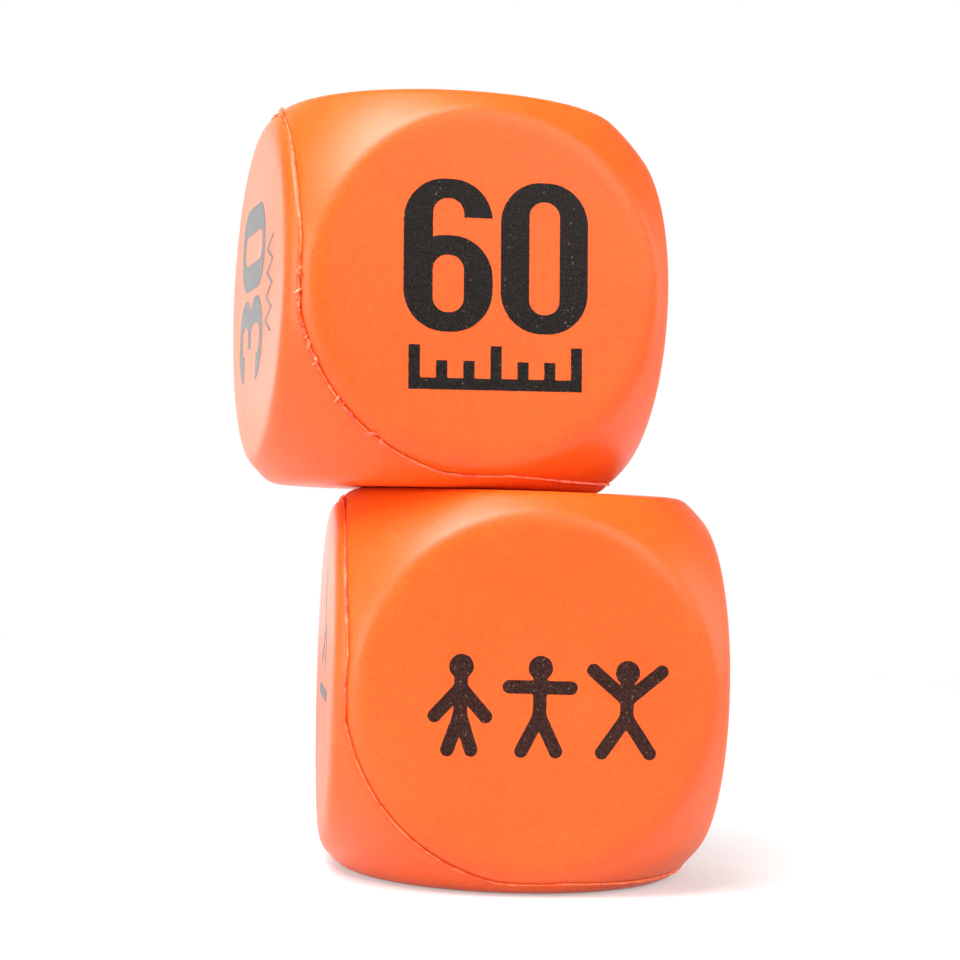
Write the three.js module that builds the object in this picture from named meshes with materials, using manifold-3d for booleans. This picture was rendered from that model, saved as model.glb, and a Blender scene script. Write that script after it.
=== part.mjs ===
// A pair of foam game dice, one standing on the other.
//
// Each die is moulded in a two-part mould: a soft foam core, a denser skin that forms against each
// mould half, and the thin fin of foam (the flash) that is squeezed out between the two halves.
// Each flat face carries inked prints: numerals with a unit mark on the upper die, and simple
// exercise figures on the lower die.
//
// Millimetres, +Z up. The origin is the centre of the lower die's bottom face. -Y is the front.

import * as THREE from "three";
import { mergeVertices } from "three/addons/utils/BufferGeometryUtils.js";
import Module from "manifold-3d";

// ---------------------------------------------------------------- driving dimensions

// The die's body
const DIE_SIDE = 89; // across two opposite flat faces
const FACE_CIRCLE = 77.9; // each flat face's width, between the rounded edges
const ROUNDING_POWER = 2.03; // 2 rounds the edges and corners as a sphere, more is squarer
const SKIN_THICKNESS = 1.5;
const CORE_CLEARANCE = 0.3; // between the foam core and the skin

// The parting line
const FLASH_THICKNESS = 0.5;
const FLASH_HEIGHT = 0.6; // how far the fin stands out of the skin
const FLASH_CLEARANCE = 0.2; // between the fin and each half of the skin

// The prints
const INK_THICKNESS = 0.3;
const INK_CLEARANCE = 0.1; // between a print and its pocket in the skin
const DIGIT_WIDTH = 20;
const DIGIT_HEIGHT = 33.4;
const DIGIT_STEM = 6.4; // width of an upright stroke
const DIGIT_BAR = 4.1; // height of a level stroke
const DIGIT_CORNER = 9.2; // radius of a digit's outer corners
const COUNTER_CORNER = 3.4; // radius of the corners of the space inside a digit
const DIGIT_WAIST = 16.9; // height of the underside of a digit's middle bar
const TERMINAL_OPENING = 4.2; // from the middle bar to the end of an open stroke
const DIGIT_GAP = 2; // between the two digits of a number
const DIGIT_RISE = 6.6; // from the face's centre up to the middle of the digits
const MARK_GAP = 3.1; // from the digits down to the unit mark
const MARK_HEIGHT = 9.6;
const MARK_STROKE = 2.4;
const SECONDS_WIDTH = 39.5;
const SECONDS_TICKS = 7;
const REPEATS_WIDTH = 22;
const REPEATS_PEAKS = 4;
const LIMB_WIDTH = 2.8;
const HEAD_DIAMETER = 5.2;
const MAT_LENGTH = 30;
const MAT_THICKNESS = 2.6;
const FIGURE_RISE = 2.4; // from the face's centre up to the soles of a figure on a mat
const MAT_DROP = 4; // from the face's centre down to the middle of the mat

// The stack
const STACK_GAP = 0.1; // between the two dice
const UPPER_TURN = THREE.MathUtils.degToRad(8.1);
const UPPER_SHIFT = [-19.5, 4.6]; // of the upper die's centre from the lower's, along X and Y

// Fineness of the faceted surfaces
const BODY_STEPS = 12; // facets along each edge of the rounded body
const INSIDE_STEPS = 6; // the same for the inside of the skin and for the core
const PARTING_STEPS = 48;
const ARC_STEPS = 2; // pairs of facets in a digit's corner
const END_STEPS = 1; // pairs of facets in a stroke's end
const DISC_STEPS = 6; // pairs of facets in a disc

// ---------------------------------------------------------------- materials

const FOAM_ORANGE = { color: 0xff7a3d, roughness: 0.85, metalness: 0 };
const SKIN_ORANGE = { color: 0xff6f38, roughness: 0.48, metalness: 0 };
const FLASH_ORANGE = { color: 0xff9a68, roughness: 0.6, metalness: 0 };
const UPPER_INK = { color: 0x231b18, roughness: 0.5, metalness: 0 };
const LOWER_INK = { color: 0x41231c, roughness: 0.55, metalness: 0 };

// ---------------------------------------------------------------- solids and meshes

const wasm = await Module();
wasm.setup();

/** Turns a closed three.js geometry into a solid that can be joined and cut. */
function solidFrom(geometry) {
  const bare = geometry.clone();
  bare.deleteAttribute("normal");
  bare.deleteAttribute("uv");
  const merged = mergeVertices(bare);
  return new wasm.Manifold(
    new wasm.Mesh({
      numProp: 3,
      vertProperties: merged.getAttribute("position").array,
      triVerts: new Uint32Array(merged.index.array),
    }),
  );
}

/** Turns a solid back into a three.js geometry. */
function geometryFrom(solid) {
  const { vertProperties, triVerts } = solid.getMesh();
  const geometry = new THREE.BufferGeometry();
  geometry.setAttribute("position", new THREE.BufferAttribute(vertProperties, 3));
  geometry.setIndex(new THREE.BufferAttribute(triVerts, 1));
  geometry.computeVertexNormals();
  return geometry;
}

/** A named mesh of one solid in one finish. */
function meshOf(name, solid, finish) {
  const mesh = new THREE.Mesh(geometryFrom(solid), new THREE.MeshStandardMaterial(finish));
  mesh.name = name;
  return mesh;
}

// ---------------------------------------------------------------- the die's body

const HALF_SIDE = DIE_SIDE / 2;

/** Size of a point's coordinates under the power that rounds the body; the plain length at 2. */
function roundedLength(point) {
  const powers = point.toArray().map((value) => Math.abs(value) ** ROUNDING_POWER);
  return (powers[0] + powers[1] + powers[2]) ** (1 / ROUNDING_POWER);
}

// How far the rounded surface would reach along an axis if no flat face cut it.
const ROUNDING_REACH = roundedLength(new THREE.Vector3(HALF_SIDE, FACE_CIRCLE / 2, 0));

/** A ball-like body cut by a cube, so that each face of the cube is left as a flat disc. */
function roundedBody(halfSide, reach, steps) {
  const ball = new THREE.BoxGeometry(2, 2, 2, steps, steps, steps);
  const positions = ball.getAttribute("position");
  const point = new THREE.Vector3();
  for (let i = 0; i < positions.count; i += 1) {
    point.fromBufferAttribute(positions, i);
    const evenly = point.toArray().map((value) => Math.tan((value * Math.PI) / 4));
    point.fromArray(evenly);
    point.multiplyScalar(reach / roundedLength(point));
    positions.setXYZ(i, ...point.toArray());
  }
  const cube = new THREE.BoxGeometry(2 * halfSide, 2 * halfSide, 2 * halfSide);
  return solidFrom(ball).intersect(solidFrom(cube));
}

// The mould opens corner to corner: its halves part towards the front, top, right corner.
const OPENING = new THREE.Vector3(1, -1, 1).normalize();
const ACROSS = new THREE.Vector3(1, 1, 0).normalize();
const ALONG = new THREE.Vector3().crossVectors(ACROSS, OPENING);

/** 1 on the die's surface, less inside and more outside, in proportion to the distance. */
function bodyGauge(point) {
  const flat = Math.max(...point.toArray().map(Math.abs)) / HALF_SIDE;
  return Math.max(flat, roundedLength(point) / ROUNDING_REACH);
}

/** The parting line's point at an angle about the opening direction: the body's widest outline. */
function partingPoint(angle) {
  const spoke = ACROSS.clone().multiplyScalar(Math.cos(angle));
  spoke.addScaledVector(ALONG, Math.sin(angle));
  const at = (slope) => spoke.clone().addScaledVector(OPENING, slope);
  let low = -1;
  let high = 1;
  while (high - low > 1e-6) {
    const third = (high - low) / 3;
    if (bodyGauge(at(low + third)) < bodyGauge(at(high - third))) high -= third;
    else low += third;
  }
  const widest = at((low + high) / 2);
  return widest.divideScalar(bodyGauge(widest));
}

/** The space of the front mould half, its boundary moved by a distance along the opening. */
function frontMould(moved) {
  const space = new THREE.SphereGeometry(1, PARTING_STEPS, 2);
  const positions = space.getAttribute("position");
  for (let i = 0; i < positions.count; i += 1) {
    const height = Math.round(positions.getY(i));
    const angle = Math.atan2(positions.getZ(i), positions.getX(i));
    const point = new THREE.Vector3();
    if (height === 0) point.copy(partingPoint(angle)).multiplyScalar(3);
    if (height === 1) point.copy(OPENING).multiplyScalar(3 * DIE_SIDE);
    point.addScaledVector(OPENING, moved);
    positions.setXYZ(i, ...point.toArray());
  }
  return solidFrom(space);
}

/** The core, the two skin halves and the flash of one die, with its pockets cut in the skin. */
function dieBody(pockets) {
  const outside = roundedBody(HALF_SIDE, ROUNDING_REACH, BODY_STEPS);
  const inside = roundedBody(HALF_SIDE - SKIN_THICKNESS, ROUNDING_REACH - SKIN_THICKNESS, INSIDE_STEPS);
  const inset = SKIN_THICKNESS + CORE_CLEARANCE;
  const core = roundedBody(HALF_SIDE - inset, ROUNDING_REACH - inset, INSIDE_STEPS);
  const skin = pockets.reduce((solid, pocket) => solid.subtract(pocket), outside.subtract(inside));
  const edge = FLASH_THICKNESS / 2;
  const fin = roundedBody(HALF_SIDE, ROUNDING_REACH + FLASH_HEIGHT, BODY_STEPS).subtract(inside);
  return {
    core,
    frontSkin: skin.intersect(frontMould(edge + FLASH_CLEARANCE)),
    backSkin: skin.subtract(frontMould(-edge - FLASH_CLEARANCE)),
    flash: fin.intersect(frontMould(-edge)).subtract(frontMould(edge)),
  };
}

// ---------------------------------------------------------------- outlines of the prints

/** Makes the solids of one print: the ink with no spread, or its pocket with some spread. */
class Stencil {
  constructor(spread, bottom, top) {
    this.spread = spread;
    this.bottom = bottom;
    this.top = top;
  }

  /** A flat solid of an outline, from the stencil's bottom to its top. */
  prism(shape, curveSegments = ARC_STEPS) {
    const geometry = new THREE.ExtrudeGeometry(shape, {
      depth: this.top - this.bottom,
      bevelEnabled: false,
      curveSegments,
    });
    return solidFrom(geometry.translate(0, 0, this.bottom));
  }

  /** A rectangle with round corners, grown by a distance all round. */
  rectangle(left, low, right, high, corner, grown) {
    const x0 = left - grown;
    const y0 = low - grown;
    const x1 = right + grown;
    const y1 = high + grown;
    const radius = Math.min(corner > 0 ? corner + grown : 0, (x1 - x0) / 2 - 0.01, (y1 - y0) / 2 - 0.01);
    const shape = new THREE.Shape();
    if (radius <= 0) {
      shape.moveTo(x0, y0).lineTo(x1, y0).lineTo(x1, y1).lineTo(x0, y1);
      return this.prism(shape);
    }
    const quarter = Math.PI / 2;
    shape.absarc(x1 - radius, y0 + radius, radius, -quarter, 0);
    shape.absarc(x1 - radius, y1 - radius, radius, 0, quarter);
    shape.absarc(x0 + radius, y1 - radius, radius, quarter, 2 * quarter);
    shape.absarc(x0 + radius, y0 + radius, radius, 2 * quarter, 3 * quarter);
    return this.prism(shape);
  }

  /** An inked rectangle. */
  plate(left, low, right, high, corner = 0) {
    return this.rectangle(left, low, right, high, corner, this.spread);
  }

  /** A rectangle to take away from the ink. */
  hole(left, low, right, high, corner = 0) {
    return this.rectangle(left, low, right, high, corner, -this.spread);
  }

  /** A straight stroke with round ends. */
  stroke([fromX, fromY], [toX, toY], width) {
    const radius = width / 2 + this.spread;
    const angle = Math.atan2(toY - fromY, toX - fromX);
    const quarter = Math.PI / 2;
    const shape = new THREE.Shape();
    shape.absarc(toX, toY, radius, angle - quarter, angle + quarter);
    shape.absarc(fromX, fromY, radius, angle + quarter, angle + 3 * quarter);
    return this.prism(shape, END_STEPS);
  }

  /** A closed outline of straight lines, as it is given. */
  outline(corners) {
    const shape = new THREE.Shape();
    corners.forEach(([x, y], i) => (i === 0 ? shape.moveTo(x, y) : shape.lineTo(x, y)));
    return this.prism(shape);
  }

  /** A closed outline of straight lines, whose pocket is grown by strokes along its edges. */
  polygon(corners) {
    const inked = this.outline(corners);
    if (this.spread === 0) return inked;
    return corners.reduce(
      (grown, corner, i) => grown.add(this.stroke(corner, corners[(i + 1) % corners.length], 0)),
      inked,
    );
  }

  /** A disc. */
  disc([x, y], diameter) {
    const shape = new THREE.Shape();
    shape.absarc(x, y, diameter / 2 + this.spread, 0, 2 * Math.PI);
    return this.prism(shape, DISC_STEPS);
  }
}

// ---------------------------------------------------------------- digits

const WAIST_TOP = DIGIT_WAIST + DIGIT_BAR;
const TERMINAL = WAIST_TOP + TERMINAL_OPENING; // where an upper open stroke ends
const LOW_TERMINAL = DIGIT_HEIGHT - TERMINAL;
const DIGITS_LOW = DIGIT_RISE - DIGIT_HEIGHT / 2; // from the face's centre to the digits' feet

/** A closed loop of a digit between two heights. */
function loop(stencil, low, high) {
  const inner = [DIGIT_STEM, low + DIGIT_BAR, DIGIT_WIDTH - DIGIT_STEM, high - DIGIT_BAR];
  const plate = stencil.plate(0, low, DIGIT_WIDTH, high, DIGIT_CORNER);
  return plate.subtract(stencil.hole(...inner, COUNTER_CORNER));
}

// Each digit in a cell with its lower left corner at the origin.
const DIGITS = {
  0: (stencil) => loop(stencil, 0, DIGIT_HEIGHT),
  1: (stencil) => {
    const left = (DIGIT_WIDTH - DIGIT_STEM) / 2 + 1;
    const right = left + DIGIT_STEM;
    const flagLow = DIGIT_HEIGHT - 9;
    return stencil.polygon([
      [left, 0],
      [right, 0],
      [right, DIGIT_HEIGHT],
      [left + 1, DIGIT_HEIGHT],
      [left - 4.6, flagLow + 3.4],
      [left - 4.6, flagLow - 1],
      [left, flagLow],
    ]);
  },
  2: (stencil) => {
    const arch = loop(stencil, DIGIT_WAIST, DIGIT_HEIGHT);
    const open = arch.subtract(stencil.hole(-DIGIT_STEM, 0, DIGIT_WIDTH - DIGIT_STEM, TERMINAL));
    const trimmed = open.subtract(stencil.hole(0, 0, 2 * DIGIT_WIDTH, TERMINAL));
    const tail = stencil.polygon([
      [0, 0],
      [DIGIT_WIDTH, 0],
      [DIGIT_WIDTH, DIGIT_BAR + 1],
      [DIGIT_STEM + 1.4, DIGIT_BAR + 1],
      [DIGIT_WIDTH - 1, DIGIT_WAIST + 1],
      [DIGIT_WIDTH, TERMINAL + 0.5],
      [DIGIT_WIDTH - DIGIT_STEM, TERMINAL + 0.5],
      [DIGIT_WIDTH - DIGIT_STEM - 1, DIGIT_WAIST + 2],
      [0, DIGIT_BAR + 1],
    ]);
    return trimmed.add(tail);
  },
  3: (stencil) => {
    const both = loop(stencil, 0, WAIST_TOP).add(loop(stencil, DIGIT_WAIST, DIGIT_HEIGHT));
    return both.subtract(stencil.hole(-DIGIT_STEM, LOW_TERMINAL, DIGIT_STEM + 1.6, TERMINAL));
  },
  4: (stencil) => {
    const right = DIGIT_WIDTH - 2.4;
    const left = right - DIGIT_STEM;
    const shelf = 6.6;
    const shelfTop = shelf + DIGIT_BAR + 1;
    const stem = stencil.plate(left, 0, right, DIGIT_HEIGHT);
    const bar = stencil.plate(0, shelf, DIGIT_WIDTH, shelfTop);
    const slope = stencil.polygon([
      [0, shelf],
      [DIGIT_STEM - 1, shelf],
      [DIGIT_STEM - 1, shelfTop],
      [left + 0.6, DIGIT_HEIGHT - 8],
      [left + 0.6, DIGIT_HEIGHT],
      [left - 1, DIGIT_HEIGHT],
      [0, shelfTop + 1],
    ]);
    return stem.add(bar).add(slope);
  },
  5: (stencil) => {
    const bowl = loop(stencil, 0, WAIST_TOP);
    const open = bowl.subtract(stencil.hole(-DIGIT_STEM, LOW_TERMINAL, DIGIT_STEM, DIGIT_WAIST - 1));
    const stem = stencil.plate(0, DIGIT_WAIST - 1, DIGIT_STEM, DIGIT_HEIGHT);
    const roof = stencil.plate(0, DIGIT_HEIGHT - DIGIT_BAR - 1, DIGIT_WIDTH - 1, DIGIT_HEIGHT);
    return open.add(stem).add(roof);
  },
  6: (stencil) => {
    const tall = loop(stencil, 0, DIGIT_HEIGHT);
    const arch = tall.subtract(stencil.hole(DIGIT_STEM, -DIGIT_BAR, 2 * DIGIT_WIDTH, TERMINAL));
    return arch.add(loop(stencil, 0, WAIST_TOP));
  },
};

// ---------------------------------------------------------------- unit marks

const MARK_LOW = DIGITS_LOW - MARK_GAP - MARK_HEIGHT;

/** A scale of ticks on a line, which stands for seconds. */
function secondsMark(stencil) {
  const pitch = (SECONDS_WIDTH - MARK_STROKE) / (SECONDS_TICKS - 1);
  const start = -SECONDS_WIDTH / 2;
  const line = stencil.plate(start, MARK_LOW, -start, MARK_LOW + MARK_STROKE);
  return Array.from({ length: SECONDS_TICKS }).reduce((solid, _, i) => {
    const height = i % 3 === 0 ? MARK_HEIGHT : 0.65 * MARK_HEIGHT;
    const left = start + i * pitch;
    return solid.add(stencil.plate(left, MARK_LOW, left + MARK_STROKE, MARK_LOW + height));
  }, line);
}

/** A zigzag band, which stands for repeats. */
function repeatsMark(stencil) {
  const rise = MARK_STROKE / 2 + 2 * stencil.spread;
  const count = 2 * REPEATS_PEAKS;
  const step = REPEATS_WIDTH / count;
  const height = MARK_HEIGHT - MARK_STROKE;
  const overrun = stencil.spread / step;
  const middle = Array.from({ length: count + 1 }, (_, i) => {
    const along = i === 0 ? -overrun : i === count ? count + overrun : i;
    const up = i === 0 || i === count ? -overrun : i % 2;
    return [-REPEATS_WIDTH / 2 + along * step, MARK_LOW + MARK_STROKE / 2 + up * height];
  });
  const lower = middle.map(([x, y]) => [x, y - rise]);
  const upper = middle.map(([x, y]) => [x, y + rise]);
  return stencil.outline([...lower, ...upper.reverse()]);
}

// ---------------------------------------------------------------- exercise figures

/** A figure of straight limbs and a round head, on joints measured from the ground below it. */
function figure(stencil, [offsetX, offsetY], head, limbs) {
  const place = ([x, y]) => [x + offsetX, y + offsetY];
  return limbs
    .flatMap((joints) => joints.slice(1).map((joint, i) => [joints[i], joint]))
    .map(([from, to]) => stencil.stroke(place(from), place(to), LIMB_WIDTH))
    .reduce((solid, limb) => solid.add(limb), stencil.disc(place(head), HEAD_DIAMETER));
}

/** A front view of a figure with both sides alike. */
function jumper(stencil, offset, { hand, foot, shoulder, head }) {
  const hip = [0, 9];
  const neck = [0, shoulder];
  const mirrored = ([x, y]) => [-x, y];
  const arms = [mirrored(hand), neck, hand];
  const legs = [mirrored(foot), hip, foot];
  return figure(stencil, offset, [0, head], [[hip, neck, [0, head]], arms, legs]);
}

const JUMP_PHASES = {
  jump_start: { offset: -19.3, hand: [5.6, 8.6], foot: [2.6, 1.3], shoulder: 14.8, head: 19.4 },
  jump_middle: { offset: -1.9, hand: [6.8, 15.2], foot: [3.8, 1.3], shoulder: 15.2, head: 19.4 },
  jump_top: { offset: 17.4, hand: [7.6, 19.2], foot: [5.3, 1.3], shoulder: 12.8, head: 18.8 },
};

const EXERCISES = {
  squat: {
    head: [2, 17.6],
    limbs: [
      [[2, 17.6], [0.5, 13.6], [-3.8, 7.6], [3, 6.8], [0.6, 1.3]],
      [[0.5, 13.6], [8, 13]],
    ],
  },
  push_up: {
    head: [11, 10.4],
    limbs: [
      [[11, 10.4], [7.2, 8.4], [-2.2, 5.4], [-11.4, 1.4]],
      [[7.2, 8.4], [7.8, 1.3]],
    ],
  },
  lunge: {
    head: [0.4, 20],
    limbs: [
      [[0.4, 20], [0, 15.8], [0, 9.4], [5.4, 7.6], [5.6, 1.3]],
      [[0, 9.4], [-3.6, 3.6], [-9, 1.3]],
    ],
  },
  sit_up: {
    head: [-8.8, 12.4],
    limbs: [
      [[-8.8, 12.4], [-6.8, 8.4], [-1.6, 1.6], [5.2, 8.4], [9, 1.3]],
      [[-6.8, 8.4], [1.4, 10]],
    ],
  },
  plank: {
    head: [11, 9],
    limbs: [
      [[11, 9], [7.2, 7], [-2.2, 4.8], [-11.4, 1.4]],
      [[7.2, 7], [7.4, 1.3], [11.4, 1.3]],
    ],
  },
};

/** A side view of a figure, standing over a mat. */
function exerciseFigure(stencil, name) {
  const { head, limbs } = EXERCISES[name];
  return figure(stencil, [0, FIGURE_RISE], head, limbs);
}

/** The mat under a figure. */
function mat(stencil) {
  const low = -MAT_DROP - MAT_THICKNESS / 2;
  return stencil.plate(-MAT_LENGTH / 2, low, MAT_LENGTH / 2, low + MAT_THICKNESS, MAT_THICKNESS / 2);
}

// ---------------------------------------------------------------- artwork of a face

// A print is a name and a function that draws it with a stencil, in the face's own plane.

/** A two-digit number with its unit mark below it. */
function numberPrints(face, number, markName, mark) {
  const digits = [...number].map((digit, i) => {
    const left = i === 0 ? -DIGIT_WIDTH - DIGIT_GAP / 2 : DIGIT_GAP / 2;
    const side = i === 0 ? "tens" : "units";
    return {
      name: `upper_${face}_${side}_digit_${digit}`,
      draw: (stencil) => DIGITS[digit](stencil).translate([left, DIGITS_LOW, 0]),
    };
  });
  return [...digits, { name: `upper_${face}_${markName}_mark`, draw: mark }];
}

/** The three figures of a star jump, side by side. */
function jumpPrints(face) {
  return Object.entries(JUMP_PHASES).map(([phase, pose]) => ({
    name: `lower_${face}_${phase}_figure`,
    draw: (stencil) => jumper(stencil, [pose.offset, -11], pose),
  }));
}

/** A figure at one exercise, with its mat. */
function exercisePrints(face, exercise) {
  return [
    { name: `lower_${face}_${exercise}_figure`, draw: (stencil) => exerciseFigure(stencil, exercise) },
    { name: `lower_${face}_mat`, draw: mat },
  ];
}

const seconds = (face, number) => numberPrints(face, number, "seconds", secondsMark);
const repeats = (face, number) => numberPrints(face, number, "repeats", repeatsMark);

// Each face's artwork: its prints, and how far they are shifted and turned in the face's plane.
const UPPER_ARTWORK = {
  front: { prints: seconds("front", "60"), shift: [1.8, 0], turn: 1.6 },
  left: { prints: repeats("left", "30"), shift: [0, 0.6], turn: 90 },
  right: { prints: repeats("right", "20"), shift: [0, 0], turn: 0 },
  back: { prints: seconds("back", "15"), shift: [0, 0], turn: 0 },
  top: { prints: seconds("top", "45"), shift: [0, 0], turn: 0 },
  bottom: { prints: repeats("bottom", "10"), shift: [0, 0], turn: 0 },
};
const LOWER_ARTWORK = {
  front: { prints: jumpPrints("front"), shift: [2.3, -2.6], turn: 0 },
  left: { prints: exercisePrints("left", "lunge"), shift: [0, 0], turn: 0 },
  right: { prints: exercisePrints("right", "squat"), shift: [0, 0], turn: 0 },
  back: { prints: exercisePrints("back", "push_up"), shift: [0, 0], turn: 0 },
  top: { prints: exercisePrints("top", "sit_up"), shift: [0, 0], turn: 0 },
  bottom: { prints: exercisePrints("bottom", "plank"), shift: [0, 0], turn: 0 },
};

// Each face's directions to the right and up, as someone facing it sees them.
const FACE_DIRECTIONS = {
  front: { right: [1, 0, 0], up: [0, 0, 1] },
  right: { right: [0, 1, 0], up: [0, 0, 1] },
  back: { right: [-1, 0, 0], up: [0, 0, 1] },
  left: { right: [0, -1, 0], up: [0, 0, 1] },
  top: { right: [1, 0, 0], up: [0, 1, 0] },
  bottom: { right: [1, 0, 0], up: [0, -1, 0] },
};

/** The matrix that lays a face's artwork on that face of a die at the origin. */
function facePlacement(face, { shift, turn }) {
  const right = new THREE.Vector3(...FACE_DIRECTIONS[face].right);
  const up = new THREE.Vector3(...FACE_DIRECTIONS[face].up);
  const out = new THREE.Vector3().crossVectors(right, up);
  const onFace = new THREE.Matrix4().makeBasis(right, up, out);
  onFace.setPosition(out.multiplyScalar(HALF_SIDE));
  onFace.multiply(new THREE.Matrix4().makeTranslation(...shift, 0));
  return onFace.multiply(new THREE.Matrix4().makeRotationZ(THREE.MathUtils.degToRad(turn)));
}

// ---------------------------------------------------------------- a whole die

const INK = new Stencil(0, -INK_THICKNESS, 0);
const POCKET = new Stencil(INK_CLEARANCE, -INK_THICKNESS - INK_CLEARANCE, SKIN_THICKNESS);

/** One die as a group centred on its own middle. */
function makeDie(name, artwork, inkFinish) {
  const pockets = [];
  const prints = [];
  for (const [face, art] of Object.entries(artwork)) {
    const placement = facePlacement(face, art).toArray();
    for (const print of art.prints) {
      prints.push(meshOf(print.name, print.draw(INK).transform(placement), inkFinish));
      pockets.push(print.draw(POCKET).transform(placement));
    }
  }
  const body = dieBody(pockets);
  const group = new THREE.Group();
  group.add(meshOf(`${name}_foam_core`, body.core, FOAM_ORANGE));
  group.add(meshOf(`${name}_front_skin_half`, body.frontSkin, SKIN_ORANGE));
  group.add(meshOf(`${name}_back_skin_half`, body.backSkin, SKIN_ORANGE));
  group.add(meshOf(`${name}_parting_flash`, body.flash, FLASH_ORANGE));
  group.add(...prints);
  return group;
}

// ---------------------------------------------------------------- the stack

const dice = new THREE.Group();

const lowerDie = makeDie("lower", LOWER_ARTWORK, LOWER_INK);
lowerDie.position.set(0, 0, HALF_SIDE);
dice.add(lowerDie);

const upperDie = makeDie("upper", UPPER_ARTWORK, UPPER_INK);
upperDie.position.set(...UPPER_SHIFT, DIE_SIDE + STACK_GAP + HALF_SIDE);
upperDie.rotation.z = UPPER_TURN;
dice.add(upperDie);

export default dice;
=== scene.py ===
"""The looks of a stacked pair of moulded foam game dice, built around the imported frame.

Each die is a soft foam core in a dense orange skin. The skin formed in two mould halves that
part from corner to corner, and a thin ragged fin of foam marks the line between them. Each of
the six round flats carries printed ink.
"""

import logging
import math
from dataclasses import dataclass, field, replace
from enum import Enum
from typing import Any

import bmesh
import bpy
import numpy as np
from mathutils import Matrix, Vector
from mathutils.geometry import delaunay_2d_cdt


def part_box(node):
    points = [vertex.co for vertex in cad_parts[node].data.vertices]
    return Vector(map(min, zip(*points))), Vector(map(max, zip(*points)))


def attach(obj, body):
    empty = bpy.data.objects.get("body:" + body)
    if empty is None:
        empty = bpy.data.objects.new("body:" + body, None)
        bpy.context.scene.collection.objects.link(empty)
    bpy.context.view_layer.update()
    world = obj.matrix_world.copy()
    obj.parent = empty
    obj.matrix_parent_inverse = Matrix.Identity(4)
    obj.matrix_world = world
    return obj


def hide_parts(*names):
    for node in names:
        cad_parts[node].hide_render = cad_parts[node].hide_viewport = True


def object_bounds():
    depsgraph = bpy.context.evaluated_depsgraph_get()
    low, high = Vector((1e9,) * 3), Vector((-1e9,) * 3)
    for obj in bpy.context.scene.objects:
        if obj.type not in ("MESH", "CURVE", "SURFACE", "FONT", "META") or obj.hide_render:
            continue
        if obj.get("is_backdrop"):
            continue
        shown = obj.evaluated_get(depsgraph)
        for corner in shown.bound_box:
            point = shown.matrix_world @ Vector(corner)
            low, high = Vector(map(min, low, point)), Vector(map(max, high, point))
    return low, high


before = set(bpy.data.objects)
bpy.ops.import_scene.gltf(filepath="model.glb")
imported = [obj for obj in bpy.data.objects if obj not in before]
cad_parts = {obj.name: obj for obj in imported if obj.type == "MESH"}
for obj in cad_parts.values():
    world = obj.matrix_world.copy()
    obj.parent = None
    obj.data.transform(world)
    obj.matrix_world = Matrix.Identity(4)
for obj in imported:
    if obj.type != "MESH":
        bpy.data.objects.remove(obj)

LOG = logging.getLogger("foam_dice")
MM = 0.001


# ------------------------------------------------------------------ node trees as expressions


class Value:
    """A socket that takes part in Python expressions; each operator adds one Math node."""

    def __init__(self, graph: "Graph", socket: bpy.types.NodeSocket) -> None:
        """Wraps a socket.

        Args:
            graph: The tree that the socket belongs to.
            socket: The output socket that holds the value.
        """
        self.graph = graph
        self.socket = socket

    def __add__(self, other: Any) -> "Value":
        """self + other."""
        return self.graph.math("ADD", self, other)

    def __radd__(self, other: Any) -> "Value":
        """other + self."""
        return self.graph.math("ADD", other, self)

    def __sub__(self, other: Any) -> "Value":
        """self - other."""
        return self.graph.math("SUBTRACT", self, other)

    def __rsub__(self, other: Any) -> "Value":
        """other - self."""
        return self.graph.math("SUBTRACT", other, self)

    def __mul__(self, other: Any) -> "Value":
        """self * other."""
        return self.graph.math("MULTIPLY", self, other)

    def __rmul__(self, other: Any) -> "Value":
        """other * self."""
        return self.graph.math("MULTIPLY", other, self)

    def __truediv__(self, other: Any) -> "Value":
        """self / other."""
        return self.graph.math("DIVIDE", self, other)

    def __rtruediv__(self, other: Any) -> "Value":
        """other / self."""
        return self.graph.math("DIVIDE", other, self)

    def __pow__(self, other: Any) -> "Value":
        """self to the power of other."""
        return self.graph.math("POWER", self, other)

    def __abs__(self) -> "Value":
        """The size of self."""
        return self.graph.math("ABSOLUTE", self)

    def __gt__(self, other: Any) -> "Value":
        """1 where self is greater than other, and 0 elsewhere."""
        return self.graph.math("GREATER_THAN", self, other)

    def __lt__(self, other: Any) -> "Value":
        """1 where self is less than other, and 0 elsewhere."""
        return self.graph.math("LESS_THAN", self, other)


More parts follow.
